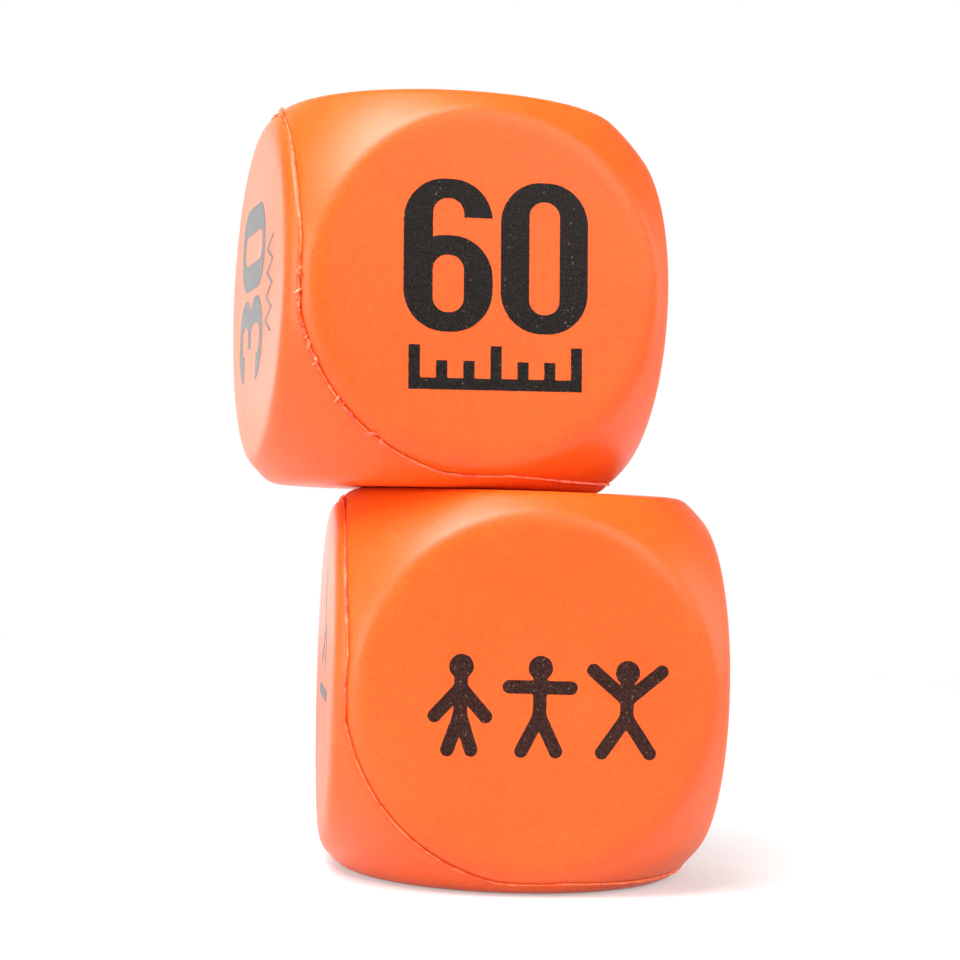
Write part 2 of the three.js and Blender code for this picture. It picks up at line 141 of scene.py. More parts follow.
class Graph:
    """A shader or geometry node tree that is written as Python expressions."""

    def __init__(self, tree: bpy.types.NodeTree) -> None:
        """Wraps a tree.

        Args:
            tree: The node tree to write into.
        """
        self.tree = tree

    def node(
        self,
        kind: str,
        settings: dict[str, Any] | None = None,
        values: dict[Any, Any] | None = None,
    ) -> bpy.types.Node:
        """Adds any node.

        Args:
            kind: The node's type.
            settings: The node's properties, which are set first; "stops" fills a colour ramp.
            values: A value or a Value for each input, by the socket's name or place.

        Returns:
            The new node.
        """
        made = self.tree.nodes.new(kind)
        for name, setting in (settings or {}).items():
            if name == "stops":
                self._fill_ramp(made.color_ramp, setting)
            else:
                setattr(made, name, setting)
        for name, value in (values or {}).items():
            if isinstance(value, Value):
                self.tree.links.new(value.socket, made.inputs[name])
            else:
                made.inputs[name].default_value = value
        return made

    @staticmethod
    def _fill_ramp(ramp: bpy.types.ColorRamp, stops: list[tuple[float, float]]) -> None:
        """Sets a ramp's grey stops.

        Args:
            ramp: The ramp.
            stops: Each stop's place and grey level, in order.
        """
        while len(ramp.elements) < len(stops):
            ramp.elements.new(1.0)
        for element, (place, level) in zip(ramp.elements, stops):
            element.position = place
            element.color = (level, level, level, 1.0)

    def value(self, node: bpy.types.Node, output: Any = 0) -> Value:
        """A node's output as a Value."""
        return Value(self, node.outputs[output])

    def math(self, operation: str, *terms: Any) -> Value:
        """A Math node on numbers."""
        settings = {"operation": operation}
        return self.value(self.node("ShaderNodeMath", settings, dict(enumerate(terms))))

    def vector(self, operation: str, *terms: Any) -> Value:
        """A Vector Math node on vectors."""
        settings = {"operation": operation}
        return self.value(self.node("ShaderNodeVectorMath", settings, dict(enumerate(terms))))

    def scaled(self, vector: Any, factor: Any) -> Value:
        """A vector times a number."""
        values = {0: vector, "Scale": factor}
        return self.value(self.node("ShaderNodeVectorMath", {"operation": "SCALE"}, values))

    def dot(self, a: Any, b: Any) -> Value:
        """The dot product of two vectors."""
        made = self.node("ShaderNodeVectorMath", {"operation": "DOT_PRODUCT"}, {0: a, 1: b})
        return self.value(made, "Value")

    def length(self, vector: Any) -> Value:
        """A vector's length."""
        made = self.node("ShaderNodeVectorMath", {"operation": "LENGTH"}, {0: vector})
        return self.value(made, "Value")

    def parts(self, vector: Value) -> tuple[Value, Value, Value]:
        """A vector's three coordinates."""
        made = self.node("ShaderNodeSeparateXYZ", values={0: vector})
        return self.value(made, 0), self.value(made, 1), self.value(made, 2)

    def colour_mix(self, factor: Any, first: Any, second: Any) -> Value:
        """A colour between two colours.

        Args:
            factor: 0 for the first colour, 1 for the second.
            first: A colour.
            second: A colour.

        Returns:
            The mixed colour.
        """
        made = self.node(
            "ShaderNodeMix",
            {"data_type": "RGBA", "clamp_factor": True},
            {0: factor, 6: first, 7: second},
        )
        return self.value(made, 2)

    def noise(
        self, place: Value, scale: float, detail: float = 3.0, roughness: float = 0.5
    ) -> Value:
        """Smooth noise from 0 to 1.

        Args:
            place: Where the noise is read.
            scale: Waves per metre.
            detail: How many finer layers it has.
            roughness: How strong the finer layers are.

        Returns:
            The noise.
        """
        values = {"Vector": place, "Scale": scale, "Detail": detail, "Roughness": roughness}
        return self.value(self.node("ShaderNodeTexNoise", values=values), 0)

    def ramp(self, factor: Value, stops: list[tuple[float, float]]) -> Value:
        """A number read from a curve of grey stops."""
        return self.value(self.node("ShaderNodeValToRGB", {"stops": stops}, {0: factor}))


def larger(a: Any, b: Any) -> Any:
    """The larger of two numbers, two arrays, or two values in a node tree.

    Args:
        a: A number, an array or a node value.
        b: Another.

    Returns:
        The larger one, in the same form.
    """
    for term in (a, b):
        if isinstance(term, Value):
            return term.graph.math("MAXIMUM", a, b)
    return np.maximum(a, b)


# ------------------------------------------------------------------ the die's form


@dataclass(frozen=True)
class BodyRule:
    """The rule of the die's rounded form, on numbers, arrays or node values alike.

    A ball-like form is cut by a cube, which leaves a round flat on each side. The rim between
    the two is soft.
    """

    half_side: Any
    face_radius: Any
    power: Any
    rim: Any

    def gauge(self, x: Any, y: Any, z: Any) -> Any:
        """1 on the surface, less inside and more outside, in proportion to the distance.

        Args:
            x: First coordinate from the die's middle.
            y: Second coordinate.
            z: Third coordinate.

        Returns:
            The gauge of that point.
        """
        x, y, z = abs(x), abs(y), abs(z)
        reach = (self.half_side**self.power + self.face_radius**self.power) ** (1.0 / self.power)
        flat = larger(larger(x, y), z) / self.half_side
        rounded = (x**self.power + y**self.power + z**self.power) ** (1.0 / self.power) / reach
        outer = larger(flat, rounded)
        share = larger(1.0 - abs(flat - rounded) / (outer * self.rim), 0.0)
        return outer * (share * share * self.rim * 0.25 + 1.0)


class Face(Enum):
    """The six flats, each with its right and its up as someone facing it sees them."""

    FRONT = ((1, 0, 0), (0, 0, 1))
    RIGHT = ((0, 1, 0), (0, 0, 1))
    BACK = ((-1, 0, 0), (0, 0, 1))
    LEFT = ((0, -1, 0), (0, 0, 1))
    TOP = ((1, 0, 0), (0, 1, 0))
    BOTTOM = ((1, 0, 0), (0, -1, 0))

    def placement(self) -> Matrix:
        """The turn that lays a flat drawing on this face of a die."""
        right, up = (Vector(direction) for direction in self.value)
        return Matrix((right, up, right.cross(up))).transposed().to_4x4()


class Half(Enum):
    """A half of the mould, and which way along the opening direction it pulls away."""

    FRONT = 1.0
    BACK = -1.0


OPENING = Vector((1, -1, 1)).normalized()
SEARCH_STEPS = 60


def parting_points(rule: BodyRule, count: int, softness: float) -> np.ndarray:
    """The parting line: the die's widest outline, seen along the mould's opening direction.

    Args:
        rule: The die's form.
        count: How many points to give.
        softness: The rim's softness in the mould, which carries the line clear of the flats.

    Returns:
        The points, one row each, from the die's middle.
    """
    opening = np.array(OPENING)
    across = np.array(Vector((1, 1, 0)).normalized())
    along = np.cross(across, opening)
    angles = np.linspace(0.0, 2.0 * math.pi, count, endpoint=False)[:, None]
    spokes = np.cos(angles) * across + np.sin(angles) * along
    mould = replace(rule, rim=softness)
    low = np.full((count, 1), -1.0)
    high = np.full((count, 1), 1.0)
    for _ in range(SEARCH_STEPS):
        third = (high - low) / 3.0
        nearer = mould.gauge(*(spokes + (low + third) * opening).T)
        further = mould.gauge(*(spokes + (high - third) * opening).T)
        falls = (nearer < further)[:, None]
        low, high = np.where(falls, low, low + third), np.where(falls, high - third, high)
    points = spokes + (low + high) / 2.0 * opening
    return points / rule.gauge(*points.T)[:, None]


# ------------------------------------------------------------------ meshes


def plain_mesh(obj: bpy.types.Object) -> bpy.types.Mesh:
    """An object's evaluated shape as a plain mesh, with the object itself removed.

    Args:
        obj: The object, with its modifiers.

    Returns:
        The mesh.
    """
    depsgraph = bpy.context.evaluated_depsgraph_get()
    mesh = bpy.data.meshes.new_from_object(obj.evaluated_get(depsgraph), depsgraph=depsgraph)
    bpy.data.objects.remove(obj)
    return mesh


def face_outwards(mesh: bpy.types.Mesh) -> None:
    """Turns a closed mesh's faces outwards if they point in.

    Args:
        mesh: The closed mesh.
    """
    work = bmesh.new()
    work.from_mesh(mesh)
    if work.calc_volume(signed=True) < 0:
        bmesh.ops.reverse_faces(work, faces=work.faces)
    work.to_mesh(mesh)
    work.free()


def new_piece(
    name: str, mesh: bpy.types.Mesh, place: Matrix, material: bpy.types.Material
) -> bpy.types.Object:
    """A finished piece: an object at the origin with its place in its mesh.

    Args:
        name: The piece's name.
        mesh: Its mesh, about the die's middle.
        place: Where the die stands.
        material: Its finish.

    Returns:
        The new object, in the scene.
    """
    mesh.transform(place)
    mesh.materials.clear()
    mesh.materials.append(material)
    mesh.name = name
    piece = bpy.data.objects.new(name, mesh)
    bpy.context.scene.collection.objects.link(piece)
    return piece


class GeometryRecipe:
    """A geometry node tree with named inputs, which runs once and leaves a plain mesh."""

    def __init__(self, name: str, inputs: dict[str, str]) -> None:
        """Starts a tree.

        Args:
            name: The tree's name.
            inputs: Each input's name and socket type.
        """
        self.tree = bpy.data.node_groups.new(name, "GeometryNodeTree")
        self.graph = Graph(self.tree)
        self.identifiers: dict[str, str] = {}
        for label, kind in inputs.items():
            socket = self.tree.interface.new_socket(label, in_out="INPUT", socket_type=kind)
            self.identifiers[label] = socket.identifier
        self.tree.interface.new_socket(
            "Geometry", in_out="OUTPUT", socket_type="NodeSocketGeometry"
        )
        self.source = self.graph.node("NodeGroupInput")

    def input(self, label: str) -> Value:
        """One of the tree's inputs."""
        return self.graph.value(self.source, label)

    def close(self, geometry: Value) -> None:
        """Ends the tree: plain geometry with its material.

        Args:
            geometry: The finished geometry.
        """
        graph = self.graph
        values = {"Geometry": geometry, "Shade Smooth": True}
        shaded = graph.node("GeometryNodeSetShadeSmooth", values=values)
        real = graph.node("GeometryNodeRealizeInstances", values={0: graph.value(shaded)})
        values = {"Geometry": graph.value(real), "Material": self.input("Material")}
        dressed = graph.node("GeometryNodeSetMaterial", values=values)
        graph.node("NodeGroupOutput", values={0: graph.value(dressed)})

    def run(self, settings: dict[str, Any]) -> bpy.types.Mesh:
        """Runs the tree.

        Args:
            settings: A value for each input, by its name.

        Returns:
            The mesh that it makes.
        """
        holder = bpy.data.objects.new("recipe", bpy.data.meshes.new("recipe"))
        bpy.context.scene.collection.objects.link(holder)
        modifier = holder.modifiers.new("recipe", "NODES")
        modifier.node_group = self.tree
        for label, value in settings.items():
            modifier[self.identifiers[label]] = value
        return plain_mesh(holder)


def inputs(kind: str, *labels: str) -> dict[str, str]:
    """Recipe inputs of one kind, by name."""
    return {label: f"NodeSocket{kind}" for label in labels}


RULE_LABELS = ("Half Side", "Face Radius", "Rounding Power", "Rim Softness")
RULE_INPUTS = inputs("Float", *RULE_LABELS) | inputs("Material", "Material")

WELD = 0.002 * MM
LIP_START = 0.975
CORE_GRAIN = 0.3 * MM

# The fin: its thinnest crest, and the waves per metre of what tears, raises and leans it.
THINNEST_FIN = 0.03 * MM
TEARING = 420.0
RISING = 60.0
LEANING = 260.0

# The knots: how they gather and crumple, in waves per metre, and how they turn and stretch.
GATHERING = 24.0
CRUMPLING = 1300.0
ANY_TURN = (6.28, 6.28, 6.28)
SMALLEST_KNOT = (0.3, 0.2, 0.12)
LARGEST_KNOT = (1.7, 0.7, 0.45)


def rule_of(recipe: GeometryRecipe) -> BodyRule:
    """The die's rule on a recipe's own inputs."""
    return BodyRule(*(recipe.input(label) for label in RULE_LABELS))


def rule_settings(rule: BodyRule, material: bpy.types.Material) -> dict[str, Any]:
    """The settings that give a recipe a rule and a finish.

    Args:
        rule: The die's rule.
        material: The piece's finish.

    Returns:
        A value for each of the rule's inputs.
    """
    sizes = (rule.half_side, rule.face_radius, rule.power, rule.rim)
    return dict(zip(RULE_LABELS, sizes)) | {"Material": material}


def closed_grid(graph: Graph, columns: Value, rows: Value) -> tuple[Value, Value, Value]:
    """A grid to be bent round into a closed form.

    Args:
        graph: The tree.
        columns: Steps round the form.
        rows: Steps from one end of the form to the other.

    Returns:
        The grid, how far round each point is from 0 to 1, and each point's row.
    """
    grid = graph.node(
        "GeometryNodeMeshGrid",
        values={"Size X": 1.0, "Size Y": 1.0, "Vertices X": columns + 1, "Vertices Y": rows + 1},
    )
    x, y, _ = graph.parts(graph.value(graph.node("GeometryNodeInputPosition")))
    return graph.value(grid, "Mesh"), x + 0.5, (y + 0.5) * rows


def moved_and_welded(graph: Graph, geometry: Value, position: Value) -> Value:
    """Geometry with its points put in place, and those that meet made one.

    Args:
        graph: The tree.
        geometry: The geometry.
        position: Where each point goes.

    Returns:
        The welded geometry.
    """
    values = {"Geometry": geometry, "Position": position}
    moved = graph.node("GeometryNodeSetPosition", values=values)
    values = {"Geometry": graph.value(moved), "Distance": WELD}
    return graph.value(graph.node("GeometryNodeMergeByDistance", values=values))


def path_sample(recipe: GeometryRecipe, factor: Value) -> tuple[Value, Value]:
    """The parting line's point and direction at a share of its length.

    Args:
        recipe: A recipe with a parting line among its inputs.
        factor: The share of its length.

    Returns:
        The point and the direction.
    """
    graph = recipe.graph
    info = graph.node("GeometryNodeObjectInfo", values={"Object": recipe.input("Parting Line")})
    sample = graph.node(
        "GeometryNodeSampleCurve",
        {"mode": "FACTOR"},
        {"Curves": graph.value(info, "Geometry"), "Factor": factor},
    )
    return graph.value(sample, "Position"), graph.value(sample, "Tangent")


def skin_recipe() -> GeometryRecipe:
    """One half of a skin: rows from the half's pole to the parting line, and back along its inside.

    Returns:
        The recipe.
    """
    recipe = GeometryRecipe(
        "skin_half",
        RULE_INPUTS
        | inputs("Object", "Parting Line")
        | inputs("Float", "Side", "Thickness", "Lip", "Waviness", "Seed")
        | inputs("Int", "Columns", "Outer Rows", "Inner Rows"),
    )
    graph = recipe.graph
    outer_rows, inner_rows = recipe.input("Outer Rows"), recipe.input("Inner Rows")
    grid, around, row = closed_grid(graph, recipe.input("Columns"), outer_rows + inner_rows + 1)
    edge, _ = path_sample(recipe, around)
    pole = graph.scaled(tuple(OPENING), recipe.input("Side"))
    height = graph.dot(edge, pole)
    spoke = graph.vector("SUBTRACT", edge, graph.scaled(pole, height))
    reach = graph.math("ARCTAN2", graph.length(spoke), height)
    going_back = larger(row - outer_rows - 1, 0.0) / inner_rows
    share = graph.math("MINIMUM", row / outer_rows, 1 - going_back)
    angle = reach * share
    direction = graph.vector(
        "ADD",
        graph.scaled(pole, graph.math("COSINE", angle)),
        graph.scaled(graph.vector("NORMALIZE", spoke), graph.math("SINE", angle)),
    )
    surface = 1 / rule_of(recipe).gauge(*graph.parts(direction))
    inside = row > outer_rows + 0.5
    shifted = graph.node(
        "ShaderNodeTexNoise",
        {"noise_dimensions": "4D"},
        {"Vector": direction, "W": recipe.input("Seed"), "Scale": 5.0, "Detail": 2.0},
    )
    wave = (graph.value(shifted) - 0.5) * recipe.input("Waviness")
    lip = (larger(share - LIP_START, 0.0) * (1.0 / (1.0 - LIP_START))) ** 2 * recipe.input("Lip")
    radius = surface + (1 - inside) * (wave - lip) - inside * recipe.input("Thickness")
    recipe.close(moved_and_welded(graph, grid, graph.scaled(direction, radius)))
    return recipe


def flash_recipe() -> GeometryRecipe:
    """The fin of foam along the parting line, with curled knots strung along it.

    Returns:
        The recipe.
    """
    recipe = GeometryRecipe(
        "parting_flash",
        inputs("Object", "Parting Line")
        | inputs("Material", "Material")
        | inputs("Float", "Height", "Half Thickness", "Root")
        | inputs("Float", "Knot Size", "Knot Spacing", "Knot Chance", "Calm", "Torn Reach")
        | inputs("Vector", "Torn Point")
        | inputs("Int", "Seed", "Columns", "Profile Steps"),
    )
    graph = recipe.graph
    steps = recipe.input("Profile Steps")
    grid, around, row = closed_grid(graph, recipe.input("Columns"), steps)
    edge, tangent = path_sample(recipe, around)
    opening = tuple(OPENING)
    across = graph.vector("NORMALIZE", graph.vector("CROSS_PRODUCT", tangent, opening))
    outwards = graph.scaled(across, graph.math("SIGN", graph.dot(across, edge)))
    turn = row / steps * (2 * math.pi)
    ragged = graph.noise(edge, TEARING, 4.0, 0.65)
    slow = graph.noise(edge, RISING, 2.0)
    crest = recipe.input("Height") * (ragged * 1.6 + slow * 2.4 - 1.35)
    rise = graph.math("COSINE", turn)
    sinking = graph.math("MINIMUM", rise, 0.0)
    height = larger(rise, 0.0) * larger(crest, THINNEST_FIN) + sinking * recipe.input("Root")
    swing = graph.noise(edge, LEANING, 2.0) - 0.5
    lean = swing * larger(rise, 0.0) * recipe.input("Height") * 1.4
    width = graph.math("SINE", turn) * recipe.input("Half Thickness") * (ragged + 0.6) + lean
    offset = graph.vector("ADD", graph.scaled(outwards, height), graph.scaled(opening, width))
    fin = moved_and_welded(graph, grid, graph.vector("ADD", edge, offset))

    info = graph.node("GeometryNodeObjectInfo", values={"Object": recipe.input("Parting Line")})
    beads = graph.node(
        "GeometryNodeCurveToPoints",
        {"mode": "LENGTH"},
        {"Curve": graph.value(info, "Geometry"), "Length": recipe.input("Knot Spacing")},
    )
    seed = recipe.input("Seed")
    here = graph.value(graph.node("GeometryNodeInputPosition"))
    kept = graph.node(
        "FunctionNodeRandomValue",
        {"data_type": "BOOLEAN"},
        {"Probability": recipe.input("Knot Chance"), "Seed": seed},
    )
    away = graph.length(graph.vector("SUBTRACT", here, recipe.input("Torn Point")))
    gathered = graph.noise(here, GATHERING, 1.0) > recipe.input("Calm")
    torn = larger(gathered, away < recipe.input("Torn Reach"))
    values = {"Radius": recipe.input("Knot Size"), "Subdivisions": 3}
    knot = graph.node("GeometryNodeMeshIcoSphere", values=values)
    crumpled = graph.noise(here, CRUMPLING, 3.0) * 3.0 - 0.45
    rough = graph.node(
        "GeometryNodeSetPosition",
        values={"Geometry": graph.value(knot), "Position": graph.scaled(here, crumpled)},
    )
    turned = graph.node(
        "FunctionNodeRandomValue",
        {"data_type": "FLOAT_VECTOR"},
        {0: (0.0, 0.0, 0.0), 1: ANY_TURN, "Seed": seed + 1},
    )
    sized = graph.node(
        "FunctionNodeRandomValue",
        {"data_type": "FLOAT_VECTOR"},
        {0: SMALLEST_KNOT, 1: LARGEST_KNOT, "Seed": seed + 2},
    )
    placed = graph.node(
        "GeometryNodeInstanceOnPoints",
        values={
            "Points": graph.value(beads, "Points"),
            "Selection": graph.value(kept, 3) * torn,
            "Instance": graph.value(rough),
            "Rotation": graph.value(turned, 0),
            "Scale": graph.value(sized, 0),
        },
    )
    both = graph.node("GeometryNodeJoinGeometry")
    graph.tree.links.new(graph.value(placed).socket, both.inputs[0])
    graph.tree.links.new(fin.socket, both.inputs[0])
    recipe.close(graph.value(both))
    return recipe


def core_recipe() -> GeometryRecipe:
    """The foam core: a cube's grid pushed out or in onto the die's form, under the skin.

    Returns:
        The recipe.
    """
    recipe = GeometryRecipe(
        "foam_core", RULE_INPUTS | inputs("Float", "Inset") | inputs("Int", "Steps")
    )
    graph = recipe.graph
    sides = {f"Vertices {axis}": recipe.input("Steps") for axis in "XYZ"}
    cube = graph.node("GeometryNodeMeshCube", values={"Size": (2.0, 2.0, 2.0)} | sides)
    place = graph.value(graph.node("GeometryNodeInputPosition"))
    spread = [graph.math("TANGENT", part * (math.pi / 4)) for part in graph.parts(place)]
    made = graph.node("ShaderNodeCombineXYZ", values=dict(enumerate(spread)))
    direction = graph.vector("NORMALIZE", graph.value(made))
    radius = 1 / rule_of(recipe).gauge(*graph.parts(direction)) - recipe.input("Inset")
    cells = (graph.noise(direction, 60.0, 3.0) - 0.5) * CORE_GRAIN
    moved = graph.scaled(direction, radius + cells)
    recipe.close(moved_and_welded(graph, graph.value(cube), moved))
    return recipe


# ------------------------------------------------------------------ printed artwork


Point = tuple[float, float]


class Drawing:
    """Flat shapes as distances from their edges on a sheet of points: less than 0 is inked."""

    PITCH = 0.2 * MM
    REACH = 36.0 * MM

    def __init__(self) -> None:
        """Lays out the sheet's points."""
        self.steps = np.arange(-self.REACH, self.REACH, self.PITCH)
        self.x, self.y = np.meshgrid(self.steps, self.steps, indexing="ij")

    def plate(
        self, left: float, low: float, right: float, high: float, corner: float = 0.0
    ) -> np.ndarray:
        """A rectangle with round corners.

        Args:
            left: Its left side.
            low: Its lower side.
            right: Its right side.
            high: Its upper side.
            corner: The radius of its corners.

        Returns:
            The distances from its edge.
        """
        corner = min(corner, (right - left) / 2, (high - low) / 2)
        across = abs(self.x - (left + right) / 2) - (right - left) / 2 + corner
        upward = abs(self.y - (low + high) / 2) - (high - low) / 2 + corner
        outside = np.hypot(np.maximum(across, 0.0), np.maximum(upward, 0.0))
        return outside + np.minimum(np.maximum(across, upward), 0.0) - corner

    def stroke(self, start: Point, end: Point, width: float) -> np.ndarray:
        """A straight stroke with round ends.

        Args:
            start: The middle of one end.
            end: The middle of the other end.
            width: Its width.

        Returns:
            The distances from its edge.
        """
        along_x, along_y = end[0] - start[0], end[1] - start[1]
        from_x, from_y = self.x - start[0], self.y - start[1]
        share = (from_x * along_x + from_y * along_y) / (along_x**2 + along_y**2)
        share = np.clip(share, 0.0, 1.0)
        return np.hypot(from_x - share * along_x, from_y - share * along_y) - width / 2

    def disc(self, centre: Point, diameter: float) -> np.ndarray:
        """A disc."""
        return np.hypot(self.x - centre[0], self.y - centre[1]) - diameter / 2

    def polygon(self, corners: list[Point]) -> np.ndarray:
        """A closed outline of straight lines.

        Args:
            corners: Its corners, in order.

        Returns:
            The distances from its edge.
        """
        nearest = np.full(self.x.shape, np.inf)
        inside = np.zeros(self.x.shape, bool)
        for (x0, y0), (x1, y1) in zip(corners, corners[1:] + corners[:1]):
            nearest = np.minimum(nearest, self.stroke((x0, y0), (x1, y1), 0.0))
            if y0 != y1:
                crosses = (self.y < y0) != (self.y < y1)
                inside ^= crosses & (self.x < x0 + (self.y - y0) / (y1 - y0) * (x1 - x0))
        return np.where(inside, -nearest, nearest)


def joined(*shapes: np.ndarray) -> np.ndarray:
    """All the ink of several shapes."""
    return np.minimum.reduce(shapes)


def softly_joined(first: np.ndarray, second: np.ndarray, softness: float) -> np.ndarray:
    """The ink of two shapes, with the corners between them filled a little."""
    blend = np.maximum(1.0 - abs(first - second) / softness, 0.0)
    return np.minimum(first, second) - blend * blend * softness / 4


def without(shape: np.ndarray, hole: np.ndarray) -> np.ndarray:
    """The ink of one shape outside another."""
    return np.maximum(shape, -hole)


@dataclass(frozen=True)
class DigitStyle:
    """The proportions of the bold narrow digits, which are drawn up and right of the origin."""

    width: float = 20.0 * MM
    height: float = 33.4 * MM
    stem: float = 6.4 * MM
    bar: float = 4.1 * MM
    corner: float = 9.2 * MM
    counter_corner: float = 3.4 * MM
    waist: float = 16.9 * MM
    opening: float = 4.2 * MM

    @property
    def waist_top(self) -> float:
        """The upper side of the middle bar."""
        return self.waist + self.bar

    @property
    def terminal(self) -> float:
        """The height at which an open upper stroke ends."""
        return self.waist_top + self.opening

    def loop(self, sheet: Drawing, low: float, high: float) -> np.ndarray:
        """A closed loop of a digit between two heights.

        Args:
            sheet: Where it is drawn.
            low: Its lower side.
            high: Its upper side.

        Returns:
            The distances from its edge.
        """
        outer = sheet.plate(0.0, low, self.width, high, self.corner)
        sides = (self.stem, low + self.bar, self.width - self.stem, high - self.bar)
        return without(outer, sheet.plate(*sides, self.counter_corner))

    def draw(self, sheet: Drawing, digit: str) -> np.ndarray:
        """One digit.

        Args:
            sheet: Where it is drawn.
            digit: The digit.

        Returns:
            The distances from its edge.
        """
        return getattr(self, f"_digit_{digit}")(sheet)

    def _digit_0(self, sheet: Drawing) -> np.ndarray:
        """A nought."""
        return self.loop(sheet, 0.0, self.height)

    def _digit_1(self, sheet: Drawing) -> np.ndarray:
        """A one.

        Args:
            sheet: Where it is drawn.

        Returns:
            The distances from its edge.
        """
        left = (self.width - self.stem) / 2 + MM
        flag = self.height - 9 * MM
        corners = [(left, 0.0), (left + self.stem, 0.0), (left + self.stem, self.height)]
        corners += [(left + MM, self.height), (left - 4.6 * MM, flag + 3.4 * MM)]
        return sheet.polygon(corners + [(left - 4.6 * MM, flag - MM), (left, flag)])

    def _digit_2(self, sheet: Drawing) -> np.ndarray:
        """A two.

        Args:
            sheet: Where it is drawn.

        Returns:
            The distances from its edge.
        """
        arch = self.loop(sheet, self.waist, self.height)
        stop = sheet.plate(-self.stem, -self.height, 2 * self.width, self.terminal)
        foot = self.bar + MM
        inner = self.width - self.stem
        corners = [(0.0, 0.0), (self.width, 0.0), (self.width, foot), (self.stem + 1.4 * MM, foot)]
        corners += [(self.width - MM, self.waist + MM), (self.width, self.terminal + 0.5 * MM)]
        corners += [(inner, self.terminal + 0.5 * MM), (inner - MM, self.waist + 2 * MM)]
        corners += [(0.0, foot)]
        return joined(without(arch, stop), sheet.polygon(corners))

    def _digit_3(self, sheet: Drawing) -> np.ndarray:
        """A three.

        Args:
            sheet: Where it is drawn.

        Returns:
            The distances from its edge.
        """
        both = joined(
            self.loop(sheet, 0.0, self.waist_top),
            self.loop(sheet, self.waist, self.height),
        )
        sides = (-self.stem, self.height - self.terminal, self.stem + 1.6 * MM, self.terminal)
        return without(both, sheet.plate(*sides))

    def _digit_4(self, sheet: Drawing) -> np.ndarray:
        """A four.

        Args:
            sheet: Where it is drawn.

        Returns:
            The distances from its edge.
        """
        right = self.width - 2.4 * MM
        left = right - self.stem
        shelf = 6.6 * MM
        top = shelf + self.bar + MM
        inner = self.stem - MM
        corners = [(0.0, shelf), (inner, shelf), (inner, top)]
        corners += [(left + 0.6 * MM, self.height - 8 * MM), (left + 0.6 * MM, self.height)]
        corners += [(left - MM, self.height), (0.0, top + MM)]
        return joined(
            sheet.plate(left, 0.0, right, self.height),
            sheet.plate(0.0, shelf, self.width, top),
            sheet.polygon(corners),
        )

    def _digit_5(self, sheet: Drawing) -> np.ndarray:
        """A five.

        Args:
            sheet: Where it is drawn.

        Returns:
            The distances from its edge.
        """
        right = self.stem + 0.8 * MM
        mouth = sheet.plate(-self.stem, self.height - self.terminal, right, self.waist - MM)
        return joined(
            without(self.loop(sheet, 0.0, self.waist_top), mouth),
            sheet.plate(0.0, self.waist - MM, self.stem, self.height),
            sheet.plate(0.0, self.height - self.bar - MM, self.width - MM, self.height),
        )

    def _digit_6(self, sheet: Drawing) -> np.ndarray:
        """A six.

        Args:
            sheet: Where it is drawn.

        Returns:
            The distances from its edge.
        """
        tall = self.loop(sheet, 0.0, self.height)
        mouth = sheet.plate(self.stem, -self.bar, 2 * self.width, self.terminal)
        return joined(without(tall, mouth), self.loop(sheet, 0.0, self.waist_top))


# Delaunay settings: keep what lies inside the rings, and merge points this close, in millimetres.
INSIDE = 1
MERGED = 1e-6


@dataclass(frozen=True)
class Ink:
    """How the ink is laid on a flat, and how its edges wander."""

    proud: float = 0.05 * MM
    sunk: float = 0.12 * MM
    wander: float = 0.025 * MM
    spread: float = 0.07 * MM
    ripples: int = 9
    slowest: float = 1.5
    fastest: float = 9.0
    seed: int = 5

    def printed(self, sheet: Drawing, shape: np.ndarray) -> np.ndarray:
        """A shape as it prints, with a slightly soft and wandering edge.

        Args:
            sheet: Where it is drawn.
            shape: The distances from its edge.

        Returns:
            The distances from the printed edge.
        """
        rng = np.random.default_rng(self.seed)
        wave = np.zeros(shape.shape)
        for _ in range(self.ripples):
            angle, phase = rng.uniform(0.0, 2.0 * math.pi, 2)
            waves = rng.uniform(self.slowest, self.fastest) / MM
            wave += np.sin((sheet.x * math.cos(angle) + sheet.y * math.sin(angle)) * waves + phase)
        return shape - self.spread + wave / math.sqrt(self.ripples) * self.wander

    def slab(self, sheet: Drawing, shape: np.ndarray, turn: Matrix) -> bpy.types.Mesh:
        """A shape as a thin closed film of ink.

        Args:
            sheet: Where it is drawn.
            shape: The distances from its edge.
            turn: Where its drawing lies in the die's own frame.

        Returns:
            The film's mesh.
        """
        loops = outlines(self.printed(sheet, shape), sheet.PITCH / MM, -sheet.REACH / MM)
        points = [point for loop in loops for point in loop]
        first = np.cumsum([0] + [len(loop) for loop in loops])
        rings = [list(range(start, start + len(loop))) for start, loop in zip(first, loops)]
        rings = [ring[::-1] if is_clockwise(loop) else ring for ring, loop in zip(rings, loops)]
        filled = delaunay_2d_cdt([Vector(point) for point in points], [], rings, INSIDE, MERGED)
        flat, triangles, owners = filled[0], filled[2], filled[5]
        kept = [tuple(face) for face, owner in zip(triangles, owners) if len(owner) % 2]
        count = len(flat)
        edges = {edge for a, b, c in kept for edge in ((a, b), (b, c), (c, a))}
        sides = [(a + count, b + count, b, a) for a, b in edges if (b, a) not in edges]
        unders = [(c + count, b + count, a + count) for a, b, c in kept]
        levels = (self.proud, -self.sunk)
        corners = [(point.x * MM, point.y * MM, level) for level in levels for point in flat]
        mesh = bpy.data.meshes.new("ink")
        mesh.from_pydata(corners, [], kept + unders + sorted(sides))
        mesh.transform(turn)
        work = bmesh.new()
        work.from_mesh(mesh)
        loose = [vertex for vertex in work.verts if not vertex.link_faces]
        bmesh.ops.delete(work, geom=loose, context="VERTS")
        work.to_mesh(mesh)
        work.free()
        return mesh


